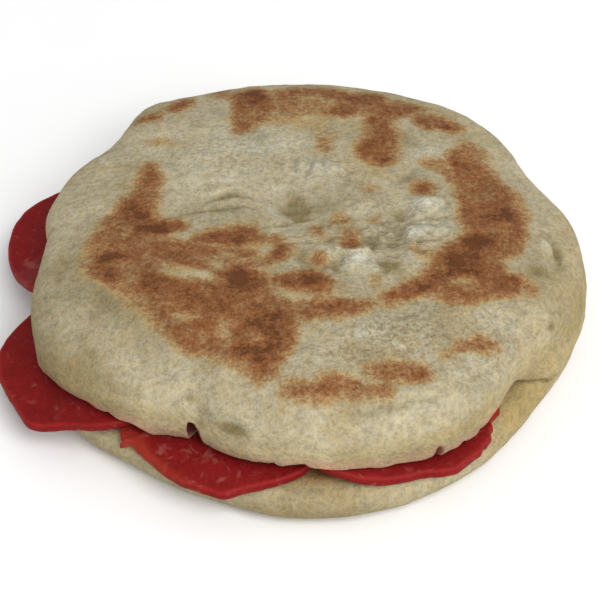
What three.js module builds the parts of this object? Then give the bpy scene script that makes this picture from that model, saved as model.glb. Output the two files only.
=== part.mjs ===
// A thick round griddle flatbread, cut open from the left round the front and still joined at the back and
// the right, with four round slices of sausage pushed into the cut.
// Millimetres, +Z up. The flat underside lies on Z = 0 with its middle at the origin, and -Y is the front.

import * as THREE from "three";
import { ParametricGeometry } from "three/addons/geometries/ParametricGeometry.js";
import { mergeVertices } from "three/addons/utils/BufferGeometryUtils.js";

// Driving dimensions of the bread, in millimetres
const UPPER_RADIUS = 74.2; // upper half at its widest level
const UPPER_LEVEL = 25; // height of that level above the table
const LOWER_RADIUS = 73; // lower half at its widest level
const LOWER_LEVEL = 7;
const TOP_HEIGHT = 38; // middle of the top, before its tilt and hollows
const TOP_TILT = { x: -0.02, y: -0.06 }; // rise of the top for each millimetre
const SHOULDER_POWER = 3; // 2 is an ellipse, more is squarer
const UPPER_LIP_SETBACK = 2.5; // how far the lips of the cut stand in from the widest levels
const LOWER_LIP_SETBACK = 5;
const BASE_SETBACK = 9; // the flat underside's edge, in from the lower half's widest level
const WALL_BULGE = 1.6; // outward swell of the uncut side
const TOP_CROWDING = 0.85; // power that spaces the rows of the top, closer towards its rim the less it is

// Uneven outlines: soft bumps as [direction, half width, height], in degrees from +X and millimetres
const UPPER_BUMPS = [
  [25, 14, -5.6],
  [58, 9, 0.6],
  [110, 9, 0.9],
  [126, 9, 4.4],
  [143, 10, -3],
  [178, 12, -2.6],
  [208, 14.5, 4.4],
  [243, 11, -5],
  [262, 14, -1.6],
  [268, 44, -1],
  [299, 11, 2.4],
  [325, 14, -5.5],
];
const LOWER_BUMPS = [
  [25, 20, -3.8],
  [195, 14, -1.5],
  [215, 11, 3.8],
  [232, 14, 0.6],
  [264, 10, 0.9],
  [276, 22, 2.4],
  [328, 20, -3.6],
  [352, 24, 1.8],
];
const UPPER_LIP_BUMPS = [
  [174, 6, -1],
  [203.5, 5, -2.6],
  [230, 11, -2],
  [257, 6, 1.1],
  [265, 5, 1.3],
  [272, 5.5, -1.6],
  [276, 12, -0.9],
  [297, 12, 2.3],
  [315, 12, 5.3],
];

// Dents and folds in the top: middle, half length, half width, turn in degrees, depth
const TOP_DENTS = [
  { x: 0, y: 8, long: 28, wide: 26, turn: 0, depth: 1.5 }, // the sunken middle
  { x: -3.5, y: 9, long: 8, wide: 6.5, turn: 0, depth: 3.2 }, // the dimple in it
  { x: -27, y: 10, long: 17, wide: 3, turn: 18, depth: 1.2 }, // long fold left of the dimple
  { x: -2, y: 2, long: 13, wide: 3, turn: 10, depth: 0.9 }, // fold in front of the dimple
];

// The cut, a fan of rays from a point near the joined side
const CUT_TIP = new THREE.Vector2(20, 18);
const CUT_TIP_SHARE = 0.04; // where the cut ends, as a share of the way from that point to the lip
const CUT_HEIGHT = 13; // lower cut face at the middle
const CUT_FALL = 1; // how much lower it lies at the rim
const CUT_FALL_FROM = 40;
const CUT_FALL_OVER = 35;
const CUT_CLOSED = 0.5; // between the cut faces where they rest on each other
const JOINED_FROM = -31; // arc where the bread was left uncut, in degrees
const JOINED_TO = 128;
const JOINED_BLEND = 3;

// Sausage slices
const SLICE_THICKNESS = 2.7;
const SLICE_CLEARANCE = 0.5; // to the bread and to the slice below
const LIP_CLEARANCE = 0.2; // more above the slices
const SLICE_DRAPE = { start: 1.12, over: 0.6 }; // a slice over another stays up to this share of its radius
const ROOF_DRAPE = { start: 1.04, over: 0.35 }; // and the bread over a slice to this, then both come down
const DROOP_FROM = 69; // the slices sag past this distance from the middle
const DROOP_OVER = 10;
const DROOP_DEPTH = 3.2;

const FRONT = {
  name: "sausage_slice_front",
  x: -20.5,
  y: -45.5,
  radius: 28.3,
  bumps: [[198.5, 5, 2], [225, 19, -1.4], [267, 7, 0.9], [309, 16, 1.2]],
  lies_on: [],
};
const FRONT_RIGHT = {
  name: "sausage_slice_front_right",
  x: 20,
  y: -42.5,
  radius: 27.6,
  bumps: [[238, 24, 4.5], [288, 12, -0.5], [306, 13, 1.9], [327, 12, 2], [354, 11, 1.2]],
  lies_on: [FRONT],
};
const LEFT_FRONT = {
  name: "sausage_slice_left_front",
  x: -57,
  y: -24.5,
  radius: 26.3,
  bumps: [[136, 22, -2.4], [237, 12, 2.9], [272, 16, 0.5], [290, 24, 4.4]],
  lies_on: [FRONT],
};
const LEFT_BACK = {
  name: "sausage_slice_left_back",
  x: -56.5,
  y: 20,
  radius: 28,
  bumps: [[152, 24, 1], [232, 14, 1.6]],
  lies_on: [LEFT_FRONT],
};
const SLICES = [LEFT_BACK, LEFT_FRONT, FRONT, FRONT_RIGHT];

// Fineness of the skins
const BREAD_COLUMNS = 100;
const SLICE_COLUMNS = 48;
const WELD = 1e-4;

const DEGREE = Math.PI / 180;
const { lerp, smoothstep } = THREE.MathUtils;

/** Height of a sum of soft bumps in one direction, in radians. */
function bumpHeight(angle, bumps) {
  let height = 0;
  for (const [direction, halfWidth, rise] of bumps) {
    const away = THREE.MathUtils.euclideanModulo(angle / DEGREE - direction + 180, 360) - 180;
    height += rise * Math.exp(-((away / halfWidth) ** 2));
  }
  return height;
}

const upperRadius = (angle) => UPPER_RADIUS + bumpHeight(angle, UPPER_BUMPS);
const lowerRadius = (angle) => LOWER_RADIUS + bumpHeight(angle, LOWER_BUMPS);
const lipSetback = (angle) => UPPER_LIP_SETBACK + bumpHeight(angle, UPPER_LIP_BUMPS);
const sliceRadius = (slice, angle) => slice.radius + bumpHeight(angle, slice.bumps);

/** Sets a point from its direction, distance from the middle and height. */
function setPolar(target, angle, distance, z) {
  return target.set(distance * Math.cos(angle), distance * Math.sin(angle), z);
}

/** Depth of the dents and folds of the top at a place. */
function dentDepth(x, y) {
  let depth = 0;
  for (const dent of TOP_DENTS) {
    const turn = dent.turn * DEGREE;
    const along = (x - dent.x) * Math.cos(turn) + (y - dent.y) * Math.sin(turn);
    const across = (y - dent.y) * Math.cos(turn) - (x - dent.x) * Math.sin(turn);
    depth += dent.depth * Math.exp(-((along / dent.long) ** 2) - (across / dent.wide) ** 2);
  }
  return depth;
}

/** Height of the lower cut face. */
function cutFloor(x, y) {
  const rim = CUT_FALL_FROM + CUT_FALL_OVER;
  return CUT_HEIGHT - CUT_FALL * smoothstep(Math.hypot(x, y), CUT_FALL_FROM, rim);
}

/** How fully a place is carried by a slice below: 1 over the slice, easing to 0 beyond its edge. */
function carried(slice, x, y, drape) {
  const angle = Math.atan2(y - slice.y, x - slice.x);
  const share = Math.hypot(x - slice.x, y - slice.y) / sliceRadius(slice, angle);
  return 1 - smoothstep(share, drape.start, drape.start + drape.over);
}

/** How far a slice is raised by the slices that it lies on. */
function sliceLift(slice, x, y) {
  const step = SLICE_THICKNESS + SLICE_CLEARANCE;
  return slice.lies_on.reduce(
    (lift, below) => Math.max(lift, carried(below, x, y, SLICE_DRAPE) * (sliceLift(below, x, y) + step)),
    0,
  );
}

/** Height of a slice's underside. */
function sliceUnderside(slice, x, y) {
  const past = Math.max(0, Math.hypot(x, y) - DROOP_FROM) / DROOP_OVER;
  const droop = DROOP_DEPTH * (1 - Math.exp(-(past ** 2)));
  return cutFloor(x, y) + SLICE_CLEARANCE + sliceLift(slice, x, y) - droop;
}

/** Height of the upper cut face, which rests on the floor and rides up over the slices. */
function cutRoof(x, y) {
  const room = SLICE_THICKNESS + 2 * SLICE_CLEARANCE + LIP_CLEARANCE;
  const raised = SLICES.map((slice) => carried(slice, x, y, ROOF_DRAPE) * (sliceLift(slice, x, y) + room));
  return cutFloor(x, y) + CUT_CLOSED + Math.max(...raised);
}

/** A place on a ray of the cut, share 0 at the lip and 1 at the tip. */
function cutRay(angle, lipDistance, share, target) {
  const reach = lerp(1, CUT_TIP_SHARE, share);
  target.x = lerp(CUT_TIP.x, lipDistance * Math.cos(angle), reach);
  target.y = lerp(CUT_TIP.y, lipDistance * Math.sin(angle), reach);
  return target;
}

/** Upper crust, from the middle of the top out to the widest level, along a squared ellipse. */
function placeTop(angle, share, target) {
  const reach = Math.sin((share * Math.PI) / 2) ** TOP_CROWDING;
  setPolar(target, angle, reach * upperRadius(angle), 0);
  const { x, y } = target;
  const top = TOP_HEIGHT + TOP_TILT.x * x + TOP_TILT.y * y - dentDepth(x, y);
  const fall = Math.max(0, 1 - reach ** SHOULDER_POWER) ** (1 / SHOULDER_POWER);
  target.z = lerp(UPPER_LEVEL, top, fall);
}

/** Underside of the upper half's rim, a quarter ellipse down to its lip. */
function placeUpperLip(angle, share, target) {
  const turn = (share * Math.PI) / 2;
  const distance = upperRadius(angle) - lipSetback(angle) * (1 - Math.cos(turn));
  cutRay(angle, upperRadius(angle) - lipSetback(angle), 0, target);
  const lipHeight = cutRoof(target.x, target.y);
  setPolar(target, angle, distance, lerp(UPPER_LEVEL, lipHeight, Math.sin(turn)));
}

/** Upper cut face, from the lip in to the tip of the cut. */
function placeRoof(angle, share, target) {
  cutRay(angle, upperRadius(angle) - lipSetback(angle), share, target);
  target.z = cutRoof(target.x, target.y);
}

/** Lower cut face, from the tip of the cut out to the lip. */
function placeFloor(angle, share, target) {
  cutRay(angle, lowerRadius(angle) - LOWER_LIP_SETBACK, 1 - share, target);
  target.z = cutFloor(target.x, target.y);
}

/** The narrow step that closes the cut at its tip. */
function placeTip(angle, share, target) {
  const floorEnd = new THREE.Vector3();
  placeFloor(angle, 0, floorEnd);
  placeRoof(angle, 1, target);
  target.lerp(floorEnd, share);
}

/** Lower half's rim, a quarter ellipse from its lip to its widest level. */
function placeLowerLip(angle, share, target) {
  const turn = (share * Math.PI) / 2;
  const distance = lowerRadius(angle) - LOWER_LIP_SETBACK * (1 - Math.sin(turn));
  cutRay(angle, lowerRadius(angle) - LOWER_LIP_SETBACK, 0, target);
  const lipHeight = cutFloor(target.x, target.y);
  setPolar(target, angle, distance, lerp(LOWER_LEVEL, lipHeight, Math.cos(turn)));
}

/** Rounded lower edge, from the widest level in to the flat underside. */
function placeLowerEdge(angle, share, target) {
  const turn = (share * Math.PI) / 2;
  const distance = lowerRadius(angle) - BASE_SETBACK * (1 - Math.cos(turn));
  setPolar(target, angle, distance, LOWER_LEVEL * (1 - Math.sin(turn)));
}

/** Flat underside, in to its middle. */
function placeBase(angle, share, target) {
  setPolar(target, angle, (1 - share) * (lowerRadius(angle) - BASE_SETBACK), 0);
}

/** Uncut outer wall of the joined side, share 0 at the upper widest level and 1 at the lower. */
function placeWall(angle, share, target) {
  const swell = WALL_BULGE * 4 * share * (1 - share);
  const distance = lerp(upperRadius(angle), lowerRadius(angle), share) + swell;
  setPolar(target, angle, distance, lerp(UPPER_LEVEL, LOWER_LEVEL, share));
}

/** How fully the bread is joined in one direction: 1 where uncut, 0 where cut. */
function joined(angle) {
  const middle = (JOINED_FROM + JOINED_TO) / 2;
  const half = (JOINED_TO - JOINED_FROM) / 2;
  const away = THREE.MathUtils.euclideanModulo(angle / DEGREE - middle + 180, 360) - 180;
  return 1 - smoothstep(Math.abs(away), half - JOINED_BLEND, half + JOINED_BLEND);
}

// The bread's skin is one sheet. From the middle of the top it runs out over the crust, in along the roof of
// the cut, out along its floor, and round the lower edge to the middle of the underside. Where the bread is
// joined, the bands of the cut become the bands of the outer wall instead, between the shares given.
const BREAD_BANDS = [
  { rows: 14, place: placeTop },
  { rows: 6, place: placeUpperLip, wall: [0, 0.55] },
  { rows: 10, place: placeRoof, wall: [0.55, 0.58] },
  { rows: 1, place: placeTip, wall: [0.58, 0.6] },
  { rows: 6, place: placeFloor, wall: [0.6, 0.63] },
  { rows: 4, place: placeLowerLip, wall: [0.63, 1] },
  { rows: 4, place: placeLowerEdge },
  { rows: 2, place: placeBase },
];

/** Counts the rows of a list of bands. */
const countRows = (bands) => bands.reduce((rows, band) => rows + band.rows, 0);

/** Finds the band that holds a row, and how far through it the row lies. */
function findBand(bands, row) {
  let start = 0;
  for (const band of bands) {
    if (row <= start + band.rows || band === bands.at(-1)) {
      return { band, share: (row - start) / band.rows };
    }
    start += band.rows;
  }
}

/** A point of the bread's skin. */
function placeBread(u, v, target) {
  const angle = 2 * Math.PI * (1 - u);
  const { band, share } = findBand(BREAD_BANDS, v * countRows(BREAD_BANDS));
  band.place(angle, share, target);
  if (band.wall) {
    const wall = new THREE.Vector3();
    placeWall(angle, lerp(...band.wall, share), wall);
    target.lerp(wall, joined(angle));
  }
}

// A slice's skin runs from the middle of its upper face round its rounded edge to the middle of its underside
const SLICE_BANDS = [
  { rows: 4, section: (share) => ({ reach: share, edge: 0, height: SLICE_THICKNESS }) },
  { rows: 3, section: sliceEdge },
  { rows: 4, section: (share) => ({ reach: 1 - share, edge: 0, height: 0 }) },
];

/** Half-round edge of a slice, from its upper face to its underside. */
function sliceEdge(share) {
  const half = SLICE_THICKNESS / 2;
  const turn = share * Math.PI;
  return { reach: 1, edge: half * Math.sin(turn), height: half * (1 + Math.cos(turn)) };
}

/** Returns the function that gives the points of one slice's skin. */
function slicePlacer(slice) {
  return (u, v, target) => {
    const angle = 2 * Math.PI * (1 - u);
    const { band, share } = findBand(SLICE_BANDS, v * countRows(SLICE_BANDS));
    const { reach, edge, height } = band.section(share);
    const distance = reach * (sliceRadius(slice, angle) - SLICE_THICKNESS / 2) + edge;
    setPolar(target, angle, distance, 0);
    target.x += slice.x;
    target.y += slice.y;
    target.z = sliceUnderside(slice, target.x, target.y) + height;
  };
}

/** Makes a closed skin from a function of two shares, its seam and poles welded. */
function closedSkin(place, columns, rows) {
  const sheet = new ParametricGeometry(place, columns, rows);
  sheet.deleteAttribute("normal");
  sheet.deleteAttribute("uv");
  const skin = mergeVertices(sheet, WELD);
  const corners = Array.from(skin.index.array);
  const kept = [];
  for (let i = 0; i < corners.length; i += 3) {
    const triangle = corners.slice(i, i + 3);
    if (new Set(triangle).size === 3) kept.push(...triangle);
  }
  skin.setIndex(kept);
  skin.computeVertexNormals();
  return skin;
}

const crust = new THREE.MeshStandardMaterial({ color: 0xb9a67e, roughness: 0.85, metalness: 0 });
const sausage = new THREE.MeshStandardMaterial({ color: 0x8b2a25, roughness: 0.45, metalness: 0 });

/** Adds a named mesh to the food. */
function addPiece(food, name, geometry, material) {
  const mesh = new THREE.Mesh(geometry, material);
  mesh.name = name;
  food.add(mesh);
}

const food = new THREE.Group();
addPiece(food, "split_flatbread", closedSkin(placeBread, BREAD_COLUMNS, countRows(BREAD_BANDS)), crust);
for (const slice of SLICES) {
  const skin = closedSkin(slicePlacer(slice), SLICE_COLUMNS, countRows(SLICE_BANDS));
  addPiece(food, slice.name, skin, sausage);
}

export default food;
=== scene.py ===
"""Looks of a split griddle flatbread with slices of sausage in its cut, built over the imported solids.

Sizes are in millimetres and directions in degrees from +X, turning towards +Y, unless a name says otherwise.
The open front of the bread faces -Y and its top crust faces +Z.
"""

import logging
import math
from dataclasses import dataclass
from enum import Enum
from typing import Callable, Iterator, NamedTuple, Optional, Union

import bpy
import numpy as np
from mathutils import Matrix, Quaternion, Vector

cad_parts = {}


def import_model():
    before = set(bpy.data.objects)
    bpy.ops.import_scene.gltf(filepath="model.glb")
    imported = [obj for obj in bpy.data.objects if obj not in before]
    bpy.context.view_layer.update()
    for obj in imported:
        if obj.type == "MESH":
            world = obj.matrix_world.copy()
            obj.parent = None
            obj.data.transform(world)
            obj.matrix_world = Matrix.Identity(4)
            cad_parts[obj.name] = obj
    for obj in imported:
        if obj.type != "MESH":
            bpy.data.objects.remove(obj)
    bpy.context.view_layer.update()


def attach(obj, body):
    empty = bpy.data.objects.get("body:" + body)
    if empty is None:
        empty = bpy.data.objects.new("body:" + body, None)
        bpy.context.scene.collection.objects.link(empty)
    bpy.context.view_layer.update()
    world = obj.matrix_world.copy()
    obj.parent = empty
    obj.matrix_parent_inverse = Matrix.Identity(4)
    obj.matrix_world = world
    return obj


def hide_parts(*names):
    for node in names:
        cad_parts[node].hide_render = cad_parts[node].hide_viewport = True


Array = np.ndarray
Colour = tuple[float, float, float]
Row = tuple[float, ...]
Path = tuple[Row, ...]
Span = tuple[float, float]

MM = 0.001
TINY = 1e-9
BODY = "root"
LOG = logging.getLogger("flatbread")

# The two swells beside a fold: how far off they stand and how wide they are, in half widths of the fold
SWELL_AWAY = 2.2
SWELL_WIDTH = 1.2


# Fields over the plan

def ease(value: Array, low: float, high: float) -> Array:
    """Smooth step of a value: 0 below low, 1 above high, and 3t^2 - 2t^3 between."""
    t = np.clip((value - low) / (high - low), 0.0, 1.0)
    return t * t * (3.0 - 2.0 * t)


def lerp(start: Array, end: Array, share: Array) -> Array:
    """Straight blend from start to end."""
    return start + (end - start) * share


def hill(distance: Array, half_width: float) -> Array:
    """Gaussian of a distance: 1 at 0 and 1/e at the half width."""
    return np.exp(-((distance / half_width) ** 2))


def turn_away(angle: Array, direction: float) -> Array:
    """Degrees from a direction, from -180 to 180, for angles in radians."""
    return (np.degrees(angle) - direction + 180.0) % 360.0 - 180.0


def polar(angle: Array, distance: Array, height: Array) -> Array:
    """Points from their direction in radians, distance from the middle and height."""
    parts = np.broadcast_arrays(distance * np.cos(angle), distance * np.sin(angle), height)
    return np.stack(parts, axis=-1)


def along_stretch(x: Array, y: Array, start: Row, end: Row) -> tuple[Array, Array]:
    """Nearest point of a straight stretch to each place.

    Args:
        x, y: the places.
        start, end: the stretch's ends, of which the first two numbers are read.

    Returns:
        The share of the way along the stretch, and the distance to it.
    """
    run = np.array(end[:2]) - np.array(start[:2])
    length = max(float(run @ run), TINY)
    share = np.clip(((x - start[0]) * run[0] + (y - start[1]) * run[1]) / length, 0.0, 1.0)
    away = np.hypot(x - start[0] - share * run[0], y - start[1] - share * run[1])
    return share, away


def brushed(x: Array, y: Array, path: Path) -> Array:
    """How far each place lies inside a brush stroke, whose path rows are x, y and half width."""
    inside = np.full_like(x, -np.inf)
    for start, end in zip(path, path[1:] or path):
        share, away = along_stretch(x, y, start, end)
        inside = np.maximum(inside, lerp(start[2], end[2], share) - away)
    return inside


def scored(x: Array, y: Array, path: Path, half_width: float) -> tuple[Array, Array]:
    """Groove along a path whose rows are x, y and depth.

    Args:
        x, y: the places.
        path: the groove's middle line.
        half_width: of the groove's Gaussian section.

    Returns:
        The groove's depth, and the height of the two low swells beside it.
    """
    depth = np.zeros_like(x)
    swell = np.zeros_like(x)
    for start, end in zip(path, path[1:]):
        share, away = along_stretch(x, y, start, end)
        deep = lerp(start[2], end[2], share)
        depth = np.maximum(depth, deep * hill(away, half_width))
        swell = np.maximum(swell, deep * hill(away - SWELL_AWAY * half_width, SWELL_WIDTH * half_width))
    return depth, swell


class Ripple(NamedTuple):
    """One size of noise: its height, the size of its cells, and how far off it is read."""

    height: float
    cell: float
    shift: float = 0.0


Ripples = tuple[Ripple, ...]


class Lattice:
    """Smooth seeded noise, from random values on a repeating cube of points."""

    SIZE = 40

    def __init__(self, seed: int) -> None:
        """Draws the cube's values, from -1 to 1."""
        self.values = np.random.default_rng(seed).uniform(-1.0, 1.0, (self.SIZE,) * 3)

    def at(self, points: Array, *ripples: Ripple) -> Array:
        """Sum of ripples at points."""
        return sum(ripple.height * self.smooth((points + ripple.shift) / ripple.cell) for ripple in ripples)

    def smooth(self, place: Array) -> Array:
        """Noise at places counted in cells: the eight corners round each one, eased between."""
        low = np.floor(place).astype(int)
        share = ease(place - low, 0.0, 1.0)
        total = np.zeros(place.shape[:-1])
        for corner in np.ndindex(2, 2, 2):
            weight = np.prod(np.where(corner, share, 1.0 - share), axis=-1)
            i, j, k = np.moveaxis((low + corner) % self.SIZE, -1, 0)
            total += weight * self.values[i, j, k]
        return total


# Outlines, slices and the cut

class Bump(NamedTuple):
    """A soft swelling in one direction."""

    direction: float
    half_width: float
    height: float

    def at(self, angle: Array) -> Array:
        """Height times a Gaussian of the degrees from the bump's direction."""
        return self.height * hill(turn_away(angle, self.direction), self.half_width)


@dataclass(frozen=True)
class Outline:
    """A size that goes round in all directions, with soft swellings."""

    radius: float
    bumps: tuple[Bump, ...] = ()

    def at(self, angle: Array) -> Array:
        """Radius plus one Gaussian for each bump."""
        return self.radius + sum(bump.at(angle) for bump in self.bumps) + np.zeros_like(angle)


def bumpy(radius: float, *rows: Row) -> Outline:
    """Outline from its radius and the direction, half width and height of each bump."""
    return Outline(radius, tuple(Bump(*row) for row in rows))


class Patch(NamedTuple):
    """An oval area: its middle, half sizes, strength at the middle and the degrees it is turned.

    It is placed by x and y on the plan, or by direction and height on the wall.
    """

    x: float
    y: float
    long: float
    wide: float
    strength: float
    turn: float = 0.0

    def at(self, x: Array, y: Array) -> Array:
        """Strength times a Gaussian along and across the oval."""
        cos, sin = math.cos(math.radians(self.turn)), math.sin(math.radians(self.turn))
        along = (x - self.x) * cos + (y - self.y) * sin
        across = (y - self.y) * cos - (x - self.x) * sin
        return self.strength * hill(along, self.long) * hill(across, self.wide)


Patches = tuple[Patch, ...]


def ovals(*rows: Row) -> Patches:
    """Oval areas from their rows of numbers."""
    return tuple(Patch(*row) for row in rows)


def patched(x: Array, y: Array, patches: Patches) -> Array:
    """Sum of oval areas."""
    return sum(patch.at(x, y) for patch in patches)


@dataclass(frozen=True)
class Pocket:
    """The knife cut: its faces, its joined arc, and the room that the slices take in it."""

    tip: Span = (20.0, 18.0)
    tip_share: float = 0.04
    height: float = 13.0
    fall: float = 1.0
    fall_over: Span = (40.0, 75.0)
    closed: float = 0.5
    joined_from: float = -31.0
    joined_to: float = 128.0
    joined_blend: float = 3.0
    slice_thickness: float = 2.7
    clearance: float = 0.5
    lip_clearance: float = 0.2
    slice_drape: Span = (1.12, 0.6)
    roof_drape: Span = (1.04, 0.35)
    droop_from: float = 69.0
    droop_over: float = 10.0
    droop_depth: float = 3.2

    def floor(self, x: Array, y: Array) -> Array:
        """Height of the lower cut face, which falls a little towards the rim."""
        return self.height - self.fall * ease(np.hypot(x, y), *self.fall_over)

    def joined(self, angle: Array) -> Array:
        """How fully the bread is joined in a direction: 1 where uncut, 0 where cut."""
        middle = (self.joined_from + self.joined_to) / 2.0
        half = (self.joined_to - self.joined_from) / 2.0
        away = np.abs(turn_away(angle, middle))
        return 1.0 - ease(away, half - self.joined_blend, half + self.joined_blend)

    def ray(self, angle: Array, lip: Array, share: Array) -> tuple[Array, Array]:
        """Places on the rays of the cut, share 0 at the lip and 1 at the tip."""
        reach = lerp(1.0, self.tip_share, share)
        x = lerp(self.tip[0], lip * np.cos(angle), reach)
        y = lerp(self.tip[1], lip * np.sin(angle), reach)
        return x, y


@dataclass(frozen=True)
class SliceForm:
    """Where one slice of sausage lies, what it lies on, and where it is fat, torn and bright."""

    node: str
    x: float
    y: float
    outline: Outline
    lies_on: tuple["SliceForm", ...] = ()
    fat: float = 0.25
    marbling: Patches = ()
    torn: Bump = Bump(0.0, 1.0, 0.0)
    bright: Bump = Bump(0.0, 26.0, 0.0)

    def carries(self, x: Array, y: Array, drape: Span) -> Array:
        """How fully what lies over a place is held up: 1 over the slice, easing to 0 past its edge.

        Args:
            x, y: the places.
            drape: where the easing starts and how far it goes on, in shares of the slice's radius.

        Returns:
            One share for each place.
        """
        angle = np.arctan2(y - self.y, x - self.x)
        share = np.hypot(x - self.x, y - self.y) / self.outline.at(angle)
        return 1.0 - ease(share, drape[0], drape[0] + drape[1])

    def lift(self, x: Array, y: Array, pocket: Pocket) -> Array:
        """How far the slice is raised by the slices under it."""
        step = pocket.slice_thickness + pocket.clearance
        lift = np.zeros_like(x)
        for below in self.lies_on:
            raised = below.carries(x, y, pocket.slice_drape) * (below.lift(x, y, pocket) + step)
            lift = np.maximum(lift, raised)
        return lift

    def underside(self, x: Array, y: Array, pocket: Pocket) -> Array:
        """Height of the underside: on the cut face, raised by the slices below, drooping past the rim."""
        past = np.maximum(0.0, np.hypot(x, y) - pocket.droop_from) / pocket.droop_over
        droop = pocket.droop_depth * (1.0 - np.exp(-(past**2)))
        return pocket.floor(x, y) + pocket.clearance + self.lift(x, y, pocket) - droop


FRONT = SliceForm(
    node="sausage_slice_front",
    x=-20.5,
    y=-45.5,
    outline=bumpy(28.3, (198.5, 5, 2), (203.4, 0.8, 1.9), (225, 19, -1.1), (267, 7, 0.9), (309, 16, 1.2)),
    fat=0.5,
    marbling=ovals(
        (-42, -56, 2, 0.9, 1.4, 25),
        (-37.8, -62.4, 2.2, 1, 0.9, -20),
        (-33.9, -62.4, 2, 0.9, 0.8, 25),
        (-28.6, -62.6, 2.6, 0.9, 1.1, -30),
        (-25, -63.4, 1.2, 1.8, 0.8),
        (-22, -71, 2.6, 1.4, 0.9, -15),
        (-19.4, -69.2, 1.6, 1.4, 0.9, 30),
        (-29, -73, 1.6, 0.9, 1.2, 30),
        (-28, -66.3, 2.2, 0.9, 0.8, 5),
    ),
    torn=Bump(203, 14, 0.7),
    bright=Bump(212, 26, 1.0),
)
FRONT_RIGHT = SliceForm(
    node="sausage_slice_front_right",
    x=20.0,
    y=-42.5,
    outline=bumpy(27.6, (238, 24, 4.5), (288, 12, -0.5), (306, 13, 1.9), (327, 12, 2), (354, 11, 1.2)),
    lies_on=(FRONT,),
    fat=0.2,
    torn=Bump(340, 20, 0.9),
    bright=Bump(322, 26, 0.15),
)
LEFT_FRONT = SliceForm(
    node="sausage_slice_left_front",
    x=-57.0,
    y=-24.5,
    outline=bumpy(26.3, (136, 22, -2.4), (237, 12, 2.9), (272, 16, 0.5), (290, 24, 4.4)),
    lies_on=(FRONT,),
)
LEFT_BACK = SliceForm(
    node="sausage_slice_left_back",
    x=-56.5,
    y=20.0,
    outline=bumpy(28.0, (152, 24, 1), (232, 14, 1.6)),
    lies_on=(LEFT_FRONT,),
    marbling=ovals((-77.7, 10.6, 4, 1.2, 1.8, -64)),
)
SLICES = (LEFT_BACK, LEFT_FRONT, FRONT, FRONT_RIGHT)


def cut_roof(x: Array, y: Array, pocket: Pocket) -> Array:
    """Height of the upper cut face, which rests on the floor and rides up over the slices."""
    room = pocket.slice_thickness + 2.0 * pocket.clearance + pocket.lip_clearance
    raised = np.zeros_like(x)
    for form in SLICES:
        held = form.carries(x, y, pocket.roof_drape) * (form.lift(x, y, pocket) + room)
        raised = np.maximum(raised, held)
    return pocket.floor(x, y) + pocket.closed + raised


# Marks of the griddle and folds of the crust, placed on the plan of the top

class Scorch(NamedTuple):
    """A browned brush stroke: path rows of x, y and half width, and how dark it is."""

    path: Path
    strength: float

    def looseness(self) -> float:
        """How much of the noise the stroke's edge takes, which is less where the stroke is short."""
        return min(1.0, 0.15 + 0.2 * len(self.path))


def strokes(*rows: tuple) -> tuple[Scorch, ...]:
    """Browned strokes from rows of a strength and the places of a path."""
    return tuple(Scorch(tuple(path), strength) for strength, *path in rows)


class Crease(NamedTuple):
    """A crease of the crust: path rows of x, y and depth, its half width, and how much painted shade it gets.
    """

    path: Path
    half_width: float
    shade: float


def folds(*rows: tuple) -> tuple[Crease, ...]:
    """Folds from rows of a half width, a shade and the places of a path."""
    return tuple(Crease(tuple(path), half_width, shade) for half_width, shade, *path in rows)


class Tear(NamedTuple):
    """A tear in the upper lip, and the degrees that its top leans."""

    direction: float
    half_width: float
    height: float
    lean: float = 0.0

    def at(self, angle: Array) -> Array:
        """Steep-sided bell round the tear's direction, 1 at its middle."""
        return np.exp(-((np.abs(turn_away(angle, self.direction)) / self.half_width) ** 3))


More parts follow.
